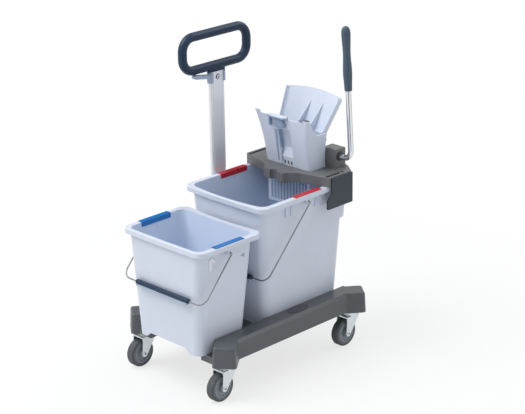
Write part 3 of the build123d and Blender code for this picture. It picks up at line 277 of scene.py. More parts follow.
class ShaderGraph(NodeGraph):
    """A material whose nodes are written as expressions."""

    def __init__(self, name: str) -> None:
        """Start a material with its standard surface shader.

        Args:
            name: The material's name.
        """
        self.material = bpy.data.materials.new(name)
        self.material.use_nodes = True
        super().__init__(self.material.node_tree)
        self.surface = self.tree.nodes["Principled BSDF"]
        self.place = self.node("ShaderNodeTexCoord").outputs["Object"]

    def stretched(self, stretch: tuple[float, float, float]) -> Socket:
        """Give the surface's own coordinates, scaled along X, Y and Z."""
        return self.node("ShaderNodeMapping", inputs={"Vector": self.place, "Scale": stretch}).outputs[0]

    def noise(self, cell: float, detail: float = 2.0,
              stretch: tuple[float, float, float] = (1.0, 1.0, 1.0)) -> Signal:
        """Add a soft noise.

        Args:
            cell: The size of its blotches.
            detail: How many finer layers it has.
            stretch: How much finer it is along each axis.

        Returns:
            The noise, around one half.
        """
        made = self.node("ShaderNodeTexNoise", inputs={
            "Vector": self.stretched(stretch), "Scale": 1 / cell, "Detail": detail})
        return Signal(self, made.outputs["Fac"])

    def crystals(self, cell: float) -> Signal:
        """Add a pattern of flat crystals, each with its own level.

        Args:
            cell: The size of a crystal.

        Returns:
            The level of the crystal at each point.
        """
        made = self.node("ShaderNodeTexVoronoi", inputs={"Vector": self.place, "Scale": 1 / cell})
        level = self.node("ShaderNodeSeparateColor", inputs={"Color": made.outputs["Color"]})
        return Signal(self, level.outputs["Red"])

    def rounded(self, radius: float) -> Socket:
        """Give the surface's normal with its edges eased to a radius."""
        return self.node("ShaderNodeBevel", {"samples": 6}, {"Radius": radius}).outputs["Normal"]

    def edges(self, normal: Socket) -> Signal:
        """Find the edges, where the eased normal turns away from the true one.

        Args:
            normal: The eased normal.

        Returns:
            A mask that is 0 on flat faces.
        """
        true_normal = self.node("ShaderNodeNewGeometry").outputs["Normal"]
        facing = self.node("ShaderNodeVectorMath", {"operation": "DOT_PRODUCT"},
                           {0: normal, 1: true_normal})
        return (1 - Signal(self, facing.outputs["Value"])).between(0.01, 0.25)

    def inward(self, parting: float, front_axis: float, rear_axis: float,
               reach: float = 60 * MM) -> Signal:
        """Find the faces that look towards the upright axis of the vessel they are on.

        Args:
            parting: Where along Y the front vessel ends and the rear one starts.
            front_axis: Where along Y the front vessel's axis stands.
            rear_axis: Where along Y the rear vessel's axis stands.
            reach: How far from its axis a wall is fully in the mask.

        Returns:
            A mask that is 1 on the inner walls.
        """
        true_normal = self.node("ShaderNodeNewGeometry").outputs["Normal"]
        place = self.node("ShaderNodeSeparateXYZ", inputs={0: self.place}).outputs
        normal = self.node("ShaderNodeSeparateXYZ", inputs={0: true_normal}).outputs
        along = Signal(self, place["Y"])
        axis = front_axis + along.between(parting - MM, parting + MM) * (rear_axis - front_axis)
        across = Signal(self, place["X"]) * Signal(self, normal["X"])
        return (0 - across - (along - axis) * Signal(self, normal["Y"])).between(0.0, reach)

    def mix(self, share: Number, first: Any, second: Any) -> Socket:
        """Blend two colours, where share says how much of the second one shows."""
        made = self.node("ShaderNodeMix", {"data_type": "RGBA"}, {0: share, 6: first, 7: second})
        return made.outputs[2]

    def bump(self, height: Signal, depth: float, normal: Socket) -> Socket:
        """Give a normal that follows a height from 0 to 1, where 1 stands as tall as depth."""
        made = self.node("ShaderNodeBump", inputs={"Distance": depth, "Height": height, "Normal": normal})
        return made.outputs["Normal"]

    def finish(self, **sockets: Any) -> Material:
        """Feed the surface shader.

        Args:
            **sockets: Values by socket name, with _ for each space.

        Returns:
            The finished material.
        """
        for name, value in sockets.items():
            self.feed(self.surface.inputs[name.replace("_", " ")], value)
        return self.material


@dataclass(frozen=True)
class MouldedPlastic:
    """An injection moulded plastic with a fine grain, and edges lightened by rubbing and by a painted
    highlight.
    """

    name: str
    colour: Colour
    roughness: float = 0.42
    grain: float = 0.7 * MM
    grain_depth: float = 0.03 * MM
    cloud: float = 0.04
    edge_radius: float = 1.0 * MM
    edge_light: float = 1.12
    rub_and_highlight: float = 0.35
    shine: float = 0.5
    cloud_size: float = 70 * MM
    rub_width: float = 2.2 * MM
    inside_shade: Colour | None = None
    parting: float = -82 * MM
    front_axis: float = -190 * MM
    rear_axis: float = 100 * MM

    def material(self) -> Material:
        """Build the finish.

        Returns:
            A plastic with faint flow clouds, moulding grain, hairline rubs, edges lightened by rubbing and a
            painted highlight, and a painted bluish shade on inner walls where one is given.
        """
        graph = ShaderGraph(self.name)
        eased = graph.rounded(self.edge_radius)
        clouds = graph.noise(self.cloud_size, 3.0)
        speckle = graph.noise(self.grain, 1.0)
        rubs = graph.noise(self.rub_width, 4.0, (1.0, 1.0, 0.06)).between(0.62, 0.72)
        body = graph.mix(clouds.between(0.3, 0.7), tinted(self.colour, 1 - self.cloud),
                         tinted(self.colour, 1 + self.cloud))
        # Paint a bluish shade on the inner walls of the vessels.
        if self.inside_shade:
            inward = graph.inward(self.parting, self.front_axis, self.rear_axis)
            body = graph.mix(inward, body, self.inside_shade)
        grained = graph.mix(speckle.between(0.35, 0.75) * self.cloud, body, tinted(self.colour, 0.7))
        # The lighter edges are partly rubbing and partly a painted highlight on the rounded edges.
        rubbed_and_highlit = graph.edges(eased) * clouds.between(0.2, 0.8) * self.rub_and_highlight
        colour = graph.mix(rubbed_and_highlit, grained, tinted(self.colour, self.edge_light))
        rough = self.roughness + (clouds - 0.5) * 0.16 + rubs * 0.08
        return graph.finish(Base_Color=colour, Roughness=rough, Specular_IOR_Level=self.shine,
                            Normal=graph.bump(speckle, self.grain_depth, eased))


@dataclass(frozen=True)
class TyreRubber:
    """A grey rubber tread with a dusty running face."""

    name: str
    colour: Colour
    dust: Colour
    edge_radius: float = 0.6 * MM
    grit_size: float = 1.7 * MM
    grit_depth: float = 0.3 * MM
    patch_size: float = 14 * MM

    def material(self) -> Material:
        """Build the finish.

        Returns:
            A matt rubber with fine grit and patches of dust.
        """
        graph = ShaderGraph(self.name)
        eased = graph.rounded(self.edge_radius)
        grit = graph.noise(self.grit_size, 3.0)
        patches = graph.noise(self.patch_size, 4.0).between(0.45, 0.75)
        colour = graph.mix(patches * 0.5, tinted(self.colour, 0.95), self.dust)
        gritty = graph.mix(grit.between(0.45, 0.65) * 0.4, colour, tinted(self.colour, 0.6))
        return graph.finish(Base_Color=gritty, Roughness=0.72 + patches * 0.15,
                            Normal=graph.bump(grit, self.grit_depth, eased))


@dataclass(frozen=True)
class ZincPlate:
    """Pressed steel with a bright zinc coat."""

    name: str
    colour: Colour
    roughness: float = 0.34
    edge_radius: float = 0.5 * MM
    crystal_size: float = 3.0 * MM
    cloud_size: float = 18 * MM
    grain: float = 1.5 * MM
    grain_depth: float = 0.02 * MM

    def material(self) -> Material:
        """Build the finish.

        Returns:
            A metal with small crystals, faint clouds and dulled edges.
        """
        graph = ShaderGraph(self.name)
        eased = graph.rounded(self.edge_radius)
        spangle = graph.crystals(self.crystal_size)
        clouds = graph.noise(self.cloud_size, 3.0)
        plate = graph.mix(spangle * 0.35, self.colour, tinted(self.colour, 0.82))
        colour = graph.mix(clouds.between(0.55, 0.85) * 0.3, plate, tinted(self.colour, 0.7))
        rough = self.roughness + (spangle - 0.5) * 0.1 + (clouds - 0.5) * 0.12
        return graph.finish(Base_Color=colour, Metallic=1.0, Roughness=rough,
                            Normal=graph.bump(graph.noise(self.grain), self.grain_depth, eased))


@dataclass(frozen=True)
class PolishedChrome:
    """Bright chrome on a drawn tube."""

    name: str
    colour: Colour
    roughness: float = 0.07
    edge_radius: float = 0.4 * MM
    smear_size: float = 24 * MM
    wave_size: float = 30 * MM
    wave_depth: float = 0.05 * MM

    def material(self) -> Material:
        """Build the finish.

        Returns:
            A mirror metal with faint hand marks.
        """
        graph = ShaderGraph(self.name)
        eased = graph.rounded(self.edge_radius)
        smears = graph.noise(self.smear_size, 4.0).between(0.5, 0.8)
        colour = graph.mix(smears * 0.2, self.colour, tinted(self.colour, 0.85))
        return graph.finish(Base_Color=colour, Metallic=1.0, Roughness=self.roughness + smears * 0.12,
                            Normal=graph.bump(graph.noise(self.wave_size), self.wave_depth, eased))


@dataclass(frozen=True)
class DrawnMetal:
    """Extruded or drawn metal with a fine grain, which can be drawn out into lines along an axis."""

    name: str
    colour: Colour
    roughness: float
    lines: tuple[float, float, float]
    line_width: float = 0.8 * MM
    line_depth: float = 0.015 * MM
    metal: float = 1.0
    edge_radius: float = 0.6 * MM
    cloud_size: float = 45 * MM

    def material(self) -> Material:
        """Build the finish.

        Returns:
            A satin metal with its grain or die lines and faint clouds.
        """
        graph = ShaderGraph(self.name)
        eased = graph.rounded(self.edge_radius)
        die_lines = graph.noise(self.line_width, 3.0, self.lines)
        clouds = graph.noise(self.cloud_size, 3.0)
        lined = graph.mix(die_lines.between(0.3, 0.7) * 0.25, self.colour, tinted(self.colour, 0.8))
        colour = graph.mix(clouds.between(0.5, 0.8) * 0.2, lined, tinted(self.colour, 0.86))
        rough = self.roughness + (die_lines - 0.5) * 0.12
        return graph.finish(Base_Color=colour, Metallic=self.metal, Roughness=rough,
                            Normal=graph.bump(die_lines, self.line_depth, eased))


class Finishes:
    """Every finish of the trolley, built once and named for what wears it."""

    def __init__(self) -> None:
        """Build the materials."""
        along_z = (1.0, 1.0, 0.02)
        even = (1.0, 1.0, 1.0)
        looks = [
            # The bucket plastic's inside colour paints a bluish shade on the buckets' inner walls.
            MouldedPlastic("bucket_plastic", srgb(210, 217, 231), 0.36, cloud=0.015, edge_light=1.06,
                           inside_shade=srgb(213, 225, 244)),
            # The mark plastic is the bucket plastic painted lighter, as a highlight on raised marks.
            MouldedPlastic("highlit_mark_plastic", srgb(230, 234, 243), 0.30, cloud=0.015, edge_light=1.02),
            MouldedPlastic("press_plastic", srgb(209, 218, 234), 0.36, cloud=0.015, edge_light=1.06),
            MouldedPlastic("chassis_plastic", srgb(84, 87, 92), 0.36, grain=0.9 * MM,
                           grain_depth=0.05 * MM, edge_radius=1.6 * MM, edge_light=2.3, rub_and_highlight=0.8),
            MouldedPlastic("plug_plastic", srgb(66, 68, 71), 0.52),
            MouldedPlastic("bridge_plastic", srgb(107, 108, 110), 0.46, grain=0.9 * MM,
                           grain_depth=0.05 * MM, edge_radius=1.4 * MM, edge_light=1.35),
            MouldedPlastic("side_clip_plastic", srgb(44, 52, 64), 0.46, grain=0.9 * MM, edge_light=1.5),
            MouldedPlastic("grip_plastic", srgb(34, 54, 77), 0.33, grain=1.6 * MM,
                           grain_depth=0.1 * MM, edge_light=1.4, shine=0.25),
            MouldedPlastic("lever_grip_plastic", srgb(76, 93, 109), 0.42, grain=1.6 * MM,
                           grain_depth=0.1 * MM, edge_light=1.3, shine=0.25),
            MouldedPlastic("hook_plastic", srgb(165, 180, 202), 0.42, edge_light=1.15),
            MouldedPlastic("latch_plastic", srgb(146, 164, 190), 0.42, edge_light=1.15),
            MouldedPlastic("blue_plastic", srgb(0, 109, 184), 0.30, cloud=0.03, edge_light=1.3),
            MouldedPlastic("red_plastic", srgb(188, 24, 40), 0.30, cloud=0.03, edge_light=1.3),
            MouldedPlastic("hub_plastic", srgb(132, 140, 147), 0.44, edge_light=1.3),
            MouldedPlastic("bush_plastic", srgb(40, 41, 43), 0.45),
            TyreRubber("tyre_rubber", srgb(84, 88, 92), srgb(112, 115, 118)),
            DrawnMetal("post_aluminium", srgb(236, 237, 238), 0.42, along_z, metal=0.6),
            DrawnMetal("wire_steel", srgb(138, 141, 145), 0.36, even, 3.0 * MM, 0.004 * MM),
            PolishedChrome("lever_chrome", srgb(222, 225, 228)),
            ZincPlate("zinc_steel", srgb(218, 223, 226)),
        ]
        self.materials = {look.name: look.material() for look in looks}

    def __getitem__(self, name: str) -> Material:
        """Give a finish by its slot's name."""
        return self.materials[name]


class Workshop:
    """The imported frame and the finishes, with what every sub-assembly needs."""

    def __init__(self, frame: dict[str, Any]) -> None:
        """Keep the frame and build the finishes.

        Args:
            frame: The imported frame.
        """
        self.nodes: dict[str, bpy.types.Object] = frame["nodes"]
        self.finishes = Finishes()
        self.slots = {row["node"]: row["material_slot"] for row in frame["record"]["subparts"]}
        self.skins: dict[str, Skin] = {}

    def dress(self, names: Iterable[str], look: str = "") -> None:
        """Give CAD nodes the finish of their slot.

        Args:
            names: The nodes to dress.
            look: The finish, where it isn't the slot's own.
        """
        for name in names:
            finish = look or self.slots[name]
            mesh = self.nodes[name].data
            mesh.materials.clear()
            mesh.materials.append(self.finishes[finish])
            LOG.info("dressed %s with %s", name, finish)

    def skin(self, node: str) -> "Skin":
        """Give a CAD node's surface, indexed once.

        Args:
            node: The node's name.

        Returns:
            Its surface.
        """
        if node not in self.skins:
            self.skins[node] = Skin(self.nodes[node])
        return self.skins[node]

    def mark(self, mark: "RaisedMark", node: str, body: str, facings: Iterable[Facing]) -> None:
        """Put a moulded form on each of a node's walls, riding on a body."""
        forms = [mark.mesh(self.skin(node), facing) for facing in facings]
        self.add(f"{node}_{mark.name}", joined(mark.name, forms), body, mark.slot, mark.look)

    def add(self, name: str, mesh: Mesh, body: str, slot: str, look: str = "") -> bpy.types.Object:
        """Put a finished mesh on a body.

        Args:
            name: The piece's name.
            mesh: Its mesh, in the frame's axes.
            body: The CAD body that it rides on.
            slot: The record's material slot.
            look: The finish, where it isn't the slot's own.

        Returns:
            The piece.
        """
        mesh.materials.clear()
        mesh.materials.append(self.finishes[look or slot])
        piece = linked(name, mesh)
        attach(piece, body)
        LOG.info("added %s on %s, %d faces", name, body, len(mesh.polygons))
        return piece


@dataclass
class PhotoCamera:
    """A camera that stands where the photograph was taken from."""

    azimuth: float = 45.09
    elevation: float = 20.16
    roll: float = -0.82
    location: Place = (3.1726, -3.08654, 2.0622)
    focal_pixels: float = 1732.9
    image_width: float = 525.0
    sensor_width: float = 36.0
    sight: float = 100.0

    def build(self) -> None:
        """Make the scene's camera."""
        data = bpy.data.cameras.new("photo_camera")
        data.sensor_width = self.sensor_width
        data.lens = self.sensor_width * self.focal_pixels / self.image_width
        data.clip_end = self.sight
        camera = linked("photo_camera", data)
        turn = Matrix.Rotation(math.radians(self.azimuth), 4, "Z")
        tilt = Matrix.Rotation(math.radians(90 - self.elevation), 4, "X")
        lean = Matrix.Rotation(math.radians(self.roll), 4, "Z")
        camera.matrix_world = Matrix.Translation(self.location) @ turn @ tilt @ lean
        bpy.context.scene.camera = camera


@dataclass(frozen=True)
class Lamp:
    """A soft square lamp, with its power in watts."""

    name: str
    place: Place
    power: float
    size: float


@dataclass
class Studio:
    """A pale floor under soft lamps."""

    floor_size: float = 30.0
    floor_colour: Colour = srgb(240, 241, 242)
    sky_level: float = 0.5
    sky_colour: Colour = (0.97, 0.985, 1.0, 1.0)
    lamps: tuple[Lamp, ...] = (
        Lamp("key_lamp", (-1.15, -1.7, 3.6), 116.0, 2.6),
        Lamp("fill_lamp", (3.2, 0.4, 1.6), 4.0, 3.0),
        Lamp("back_lamp", (0.9, 2.6, 3.2), 34.0, 2.2))
    aim: Place = (0.0, 0.0, 0.35)
    white_share: float = 0.72
    fade_start: float = 0.5
    fade_end: float = 1.6
    flag_distance: float = 1.25
    flag_height: float = 1.5
    flags: tuple[tuple[float, float], ...] = ((55.0, 0.6), (-64.0, 0.22), (152.0, 0.22), (235.0, 0.5))

    def build(self) -> None:
        """Make the floor, the lamps, the dark flags and the sky."""
        bpy.context.scene.view_settings.view_transform = "Standard"
        self._floor()
        self._flags()
        for lamp in self.lamps:
            self._hang(lamp)
        self._sky()

    def _seen_directly(self, graph: NodeGraph) -> Signal:
        """Tell the rays that see the background from those that light the object.

        Args:
            graph: The floor's or the sky's nodes.

        Returns:
            1 for camera, mirror and glass rays, and 0 for the rest.
        """
        rays = graph.node("ShaderNodeLightPath").outputs
        camera, mirror, glass = (
            Signal(graph, rays[f"Is {kind} Ray"]) for kind in ("Camera", "Glossy", "Transmission"))
        return camera.most(mirror).most(glass)

    def _floor(self) -> None:
        """Lay the floor, which keeps a soft shadow."""
        half = self.floor_size / 2
        mesh = bpy.data.meshes.new("floor")
        corners = [(-half, -half, 0), (half, -half, 0), (half, half, 0), (-half, half, 0)]
        mesh.from_pydata(corners, [], [(0, 1, 2, 3)])
        graph = ShaderGraph("pale_floor")
        graph.finish(Base_Color=self.floor_colour, Roughness=0.9, Specular_IOR_Level=0.1)
        glow = graph.node("ShaderNodeEmission", inputs={"Color": (1, 1, 1, 1), "Strength": 1.0})
        spread = graph.node("ShaderNodeVectorMath", {"operation": "LENGTH"}, {0: graph.place})
        fade = Signal(graph, spread.outputs["Value"]).between(self.fade_start, self.fade_end)
        share = self._seen_directly(graph) * (self.white_share + fade * (1 - self.white_share))
        blend = graph.node("ShaderNodeMixShader", inputs={
            0: share, 1: graph.surface.outputs[0], 2: glow.outputs[0]})
        graph.feed(graph.tree.nodes["Material Output"].inputs["Surface"], blend.outputs[0])
        mesh.materials.append(graph.material)
        linked("floor", mesh)

    def _flags(self) -> None:
        """Stand dark flags round the object, which show only in its reflections."""
        faces = []
        corners = []
        for turn, width in self.flags:
            spin = Matrix.Rotation(math.radians(turn), 4, "Z")
            first = len(corners)
            for across, up in ((-0.5, 0), (0.5, 0), (0.5, self.flag_height), (-0.5, self.flag_height)):
                corners.append(spin @ Vector((across * width, -self.flag_distance, up)))
            faces.append(tuple(range(first, first + 4)))
        mesh = bpy.data.meshes.new("dark_flags")
        mesh.from_pydata(corners, [], faces)
        graph = ShaderGraph("dark_flag")
        mesh.materials.append(graph.finish(Base_Color=srgb(40, 44, 50), Roughness=0.9))
        flags = linked("dark_flags", mesh)
        flags.visible_camera = False
        flags.visible_diffuse = False
        flags.visible_shadow = False

    def _hang(self, lamp: Lamp) -> None:
        """Hang a lamp so that it faces the object.

        Args:
            lamp: The lamp.
        """
        data = bpy.data.lights.new(lamp.name, "AREA")
        data.energy = lamp.power
        data.size = lamp.size
        hung = linked(lamp.name, data)
        hung.location = lamp.place
        beam = Vector(self.aim) - Vector(lamp.place)
        hung.rotation_euler = beam.to_track_quat("-Z", "Y").to_euler()

    def _sky(self) -> None:
        """Surround the object with an even pale light."""
        world = bpy.data.worlds.new("studio_sky")
        bpy.context.scene.world = world
        world.use_nodes = True
        graph = NodeGraph(world.node_tree)
        graph.tree.nodes.clear()
        lit = graph.node("ShaderNodeBackground", inputs={
            "Color": self.sky_colour, "Strength": self.sky_level})
        seen = graph.node("ShaderNodeBackground", inputs={"Color": (1, 1, 1, 1), "Strength": 1.0})
        blend = graph.node("ShaderNodeMixShader", inputs={
            0: self._seen_directly(graph), 1: lit.outputs[0], 2: seen.outputs[0]})
        graph.node("ShaderNodeOutputWorld", inputs={"Surface": blend.outputs[0]})


class RibTree(NodeGraph):
    """A Geometry Nodes tree that repeats one bar, with named inputs for its sizes."""

    def __init__(self, name: str, sizes: dict[str, str]) -> None:
        """Start the tree with its inputs.

        Args:
            name: The tree's name.
            sizes: The type of each input of its own, by the input's name.
        """
        super().__init__(bpy.data.node_groups.new(name, "GeometryNodeTree"))
        face = self.tree.interface
        face.new_socket("Geometry", in_out="OUTPUT", socket_type="NodeSocketGeometry")
        shared = {"Count": "NodeSocketInt", "Bar": "NodeSocketVector", "Material": "NodeSocketMaterial"}
        made = {label: face.new_socket(label, in_out="INPUT", socket_type=kind)
                for label, kind in {**shared, **sizes}.items()}
        self.identifiers = {label: socket.identifier for label, socket in made.items()}
        self.given = self.node("NodeGroupInput").outputs

    def close(self, points: Socket, turns: Any) -> None:
        """Put the bar on each point and end the tree.

        Args:
            points: The points that the bars stand on.
            turns: The bars' rotation.
        """
        bar = self.node("GeometryNodeMeshCube", inputs={"Size": self.given["Bar"]})
        placed = self.node("GeometryNodeInstanceOnPoints", inputs={
            "Points": points, "Instance": bar.outputs["Mesh"], "Rotation": turns})
        real = self.node("GeometryNodeRealizeInstances", inputs={"Geometry": placed.outputs[0]})
        painted = self.node("GeometryNodeSetMaterial", inputs={
            "Geometry": real.outputs[0], "Material": self.given["Material"]})
        self.node("NodeGroupOutput", inputs={"Geometry": painted.outputs[0]})

    def mesh(self, values: dict[str, Any], ease: float) -> Mesh:
        """Run the tree into a plain mesh.

        Args:
            values: A value for each named input.
            ease: The width of the bars' eased edges.

        Returns:
            The mesh, round the origin.
        """
        host = linked("rib_host", bpy.data.meshes.new("rib_host"))
        modifier = host.modifiers.new("ribs", "NODES")
        modifier.node_group = self.tree
        for label, value in values.items():
            modifier[self.identifiers[label]] = value
        bevel = host.modifiers.new("eased", "BEVEL")
        bevel.width = ease
        bevel.segments = EASE_STEPS
        evaluated = host.evaluated_get(bpy.context.evaluated_depsgraph_get())
        mesh = bpy.data.meshes.new_from_object(evaluated)
        bpy.data.objects.remove(host)
        return mesh


class RibRing(RibTree):
    """Bars that stand like spokes round the Z axis."""

    def __init__(self) -> None:
        """Build the tree."""
        super().__init__("rib_ring", {"Radius": "NodeSocketFloat"})
        ring = self.node("GeometryNodeMeshCircle", inputs={
            "Vertices": self.given["Count"], "Radius": self.given["Radius"]})
        step = self.node("ShaderNodeMath", {"operation": "DIVIDE"}, {0: math.tau, 1: self.given["Count"]})
        index = self.node("GeometryNodeInputIndex")
        angle = self.node("ShaderNodeMath", {"operation": "MULTIPLY"}, {
            0: index.outputs[0], 1: step.outputs[0]})
        turn = self.node("ShaderNodeCombineXYZ", inputs={"Z": angle.outputs[0]})
        self.close(ring.outputs["Mesh"], turn.outputs[0])


class RibRow(RibTree):
    """Bars in a straight row."""

    def __init__(self) -> None:
        """Build the tree."""
        super().__init__("rib_row", {"Step": "NodeSocketVector"})
        row = self.node("GeometryNodeMeshLine", {"mode": "OFFSET"}, {
            "Count": self.given["Count"], "Offset": self.given["Step"]})
        self.close(row.outputs["Mesh"], (0.0, 0.0, 0.0))


class Skin:
    """The surface of a CAD node, for pieces that sit on it."""

    def __init__(self, node: bpy.types.Object) -> None:
        """Index the node's faces.

        Args:
            node: The CAD node.
        """
        mesh = node.data
        self.faces = BVHTree.FromPolygons(
            [vertex.co for vertex in mesh.vertices], [tuple(face.vertices) for face in mesh.polygons])

    def meet(self, facing: Facing, along: float, up: float) -> float:
        """Find how far out from the frame's axis a wall stands, at a place along it and a height."""
        start = facing.outward + facing.along * along + Vector((0, 0, up))
        return self.faces.ray_cast(start, -facing.outward)[0].dot(facing.outward)


@dataclass(frozen=True)
class RaisedMark:
    """A moulded form on an upright wall, drawn in millimetres along the wall and up; some are strips that
    paint shade.
    """

    name: str
    slot: str
    outline: Outline
    height: float = 1.8 * MM
    sunk: float = 0.8 * MM
    ease: float = 0.5 * MM
    gauge: float | None = None
    look: str = ""

    def mesh(self, skin: Skin, facing: Facing) -> Mesh:
        """Lay the form on its wall.

        Args:
            skin: The wall's surface.
            facing: The way that the wall faces.

        Returns:
            The form as a closed mesh, set by the wall at the gauge's place if it has one.
        """
        form = bmesh.new()
        corners = [form.verts.new((0, along * MM, up * MM)) for along, up in self.outline]
        base = form.faces.new(corners)
        raised = bmesh.ops.extrude_face_region(form, geom=[base])["geom"]
        top = {item for item in raised if isinstance(item, bmesh.types.BMVert)}
        for vertex in top:
            vertex.co.x = self.height + self.sunk
        edges = [edge for edge in form.edges if all(vertex in top for vertex in edge.verts)]
        bmesh.ops.bevel(form, geom=edges, offset=self.ease, segments=EASE_STEPS, affect="EDGES")
        for vertex in form.verts:
            out, along, up = vertex.co
            wall = skin.meet(facing, along if self.gauge is None else self.gauge * MM, up)
            level = facing.outward * (wall + out - self.sunk) + facing.along * along
            vertex.co = level + Vector((0, 0, up))
        return closed("raised_mark", form)


def ring_section(inner: float, outer: float, base: float, top: float, slopes: tuple[float, float]) -> Outline:
    """Give a ring's section, as radius and height, with an inner and an outer slope up to its top."""
    return (inner, base), (outer, base), (outer - slopes[1], top), (inner + slopes[0], top)


def lathed(profile: Outline, steps: int) -> Mesh:
    """Turn a closed profile round the Z axis.

    Args:
        profile: Radius and height of each corner, in order.
        steps: How many flats go round.

    Returns:
        The ring.
    """
    form = bmesh.new()
    angles = [math.tau * step / steps for step in range(steps)]
    rings = [[form.verts.new((radius * math.cos(angle), radius * math.sin(angle), up))
              for radius, up in profile] for angle in angles]
    for here, after in zip(rings, rings[1:] + rings[:1]):
        for place in range(len(profile)):
            beside = (place + 1) % len(profile)
            form.faces.new((here[place], after[place], after[beside], here[beside]))
    return closed("ring", form)


def joined(name: str, meshes: Iterable[Mesh]) -> Mesh:
    """Join meshes into one with flat faces.

    Args:
        name: The new mesh's name.
        meshes: The meshes, which are used up.

    Returns:
        The joined mesh.
    """
    whole = bmesh.new()
    for mesh in meshes:
        whole.from_mesh(mesh)
        bpy.data.meshes.remove(mesh)
    for face in whole.faces:
        face.smooth = False
    made = bpy.data.meshes.new(name)
    whole.to_mesh(made)
    whole.free()
    return made


@dataclass
class Caster:
    """A swivel caster with a dished face in its hub and a ring on each side of its tyre."""

    corner: Corner
    face_profile: Outline = ((10.6 * MM, 5.2 * MM), (10.6 * MM, 7.4 * MM), (12.0 * MM, 8.4 * MM),
                             (20.5 * MM, 8.8 * MM), (22.5 * MM, 10.2 * MM), (24.3 * MM, 10.2 * MM),
                             (24.3 * MM, 5.2 * MM))
    ring_inner: float = 30.8 * MM
    ring_outer: float = 33.0 * MM
    ring_base: float = 11.5 * MM
    ring_top: float = 12.6 * MM
    trim_steps: int = 96
    dot_radius: float = 2.8 * MM
    dot_hole: float = 0.28 * MM
    dot_height: float = 0.5 * MM
    dot_steps: int = 24

    def dress(self, shop: Workshop) -> None:
        """Give the caster's nodes their finishes."""
        shop.dress(f"caster_{self.corner.value}_{piece}" for piece in ("stem", "fork", "axle", "hub", "tyre"))

    def build(self, shop: Workshop) -> None:
        """Add the hub's faces, the tyre's rings and dark discs that paint the shade in the hollow centres of
        the axle's rivets.

        Args:
            shop: The frame and the finishes.
        """
        low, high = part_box(f"caster_{self.corner.value}_hub")
        middle = Matrix.Translation((Vector(low) + Vector(high)) / 2)
        left, right = (end[0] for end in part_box(f"caster_{self.corner.value}_axle"))
        axle_end = Matrix.Translation((0, 0, (right - left) / 2))
        slope = (self.ring_top - self.ring_base) / 2
        ring = ring_section(self.ring_inner, self.ring_outer, self.ring_base, self.ring_top, (slope, slope))
        centre = ring_section(self.dot_hole, self.dot_radius, -self.dot_height, self.dot_height,
                              (0.0, self.dot_height))
        trims, dots = [], []
        for side in Side:
            facing = middle @ Matrix.Rotation(side.value * math.pi / 2, 4, "Y")
            # A dark disc paints the shade in the rivet's hollow centre.
            dot = lathed(centre, self.dot_steps)
            dot.transform(facing @ axle_end)
            dots.append(dot)
            for profile in (self.face_profile, ring):
                trim = lathed(profile, self.trim_steps)
                trim.transform(facing)
                trims.append(trim)
        body = f"wheel_{self.corner.value}"
        shop.add(f"{body}_trims", joined("trims", trims), body, "hub_plastic")
        fork = f"swivel_{self.corner.value}"
        shop.add(f"{fork}_axle_hollow_shades", joined("axle_hollow_shades", dots), fork, "bush_plastic")


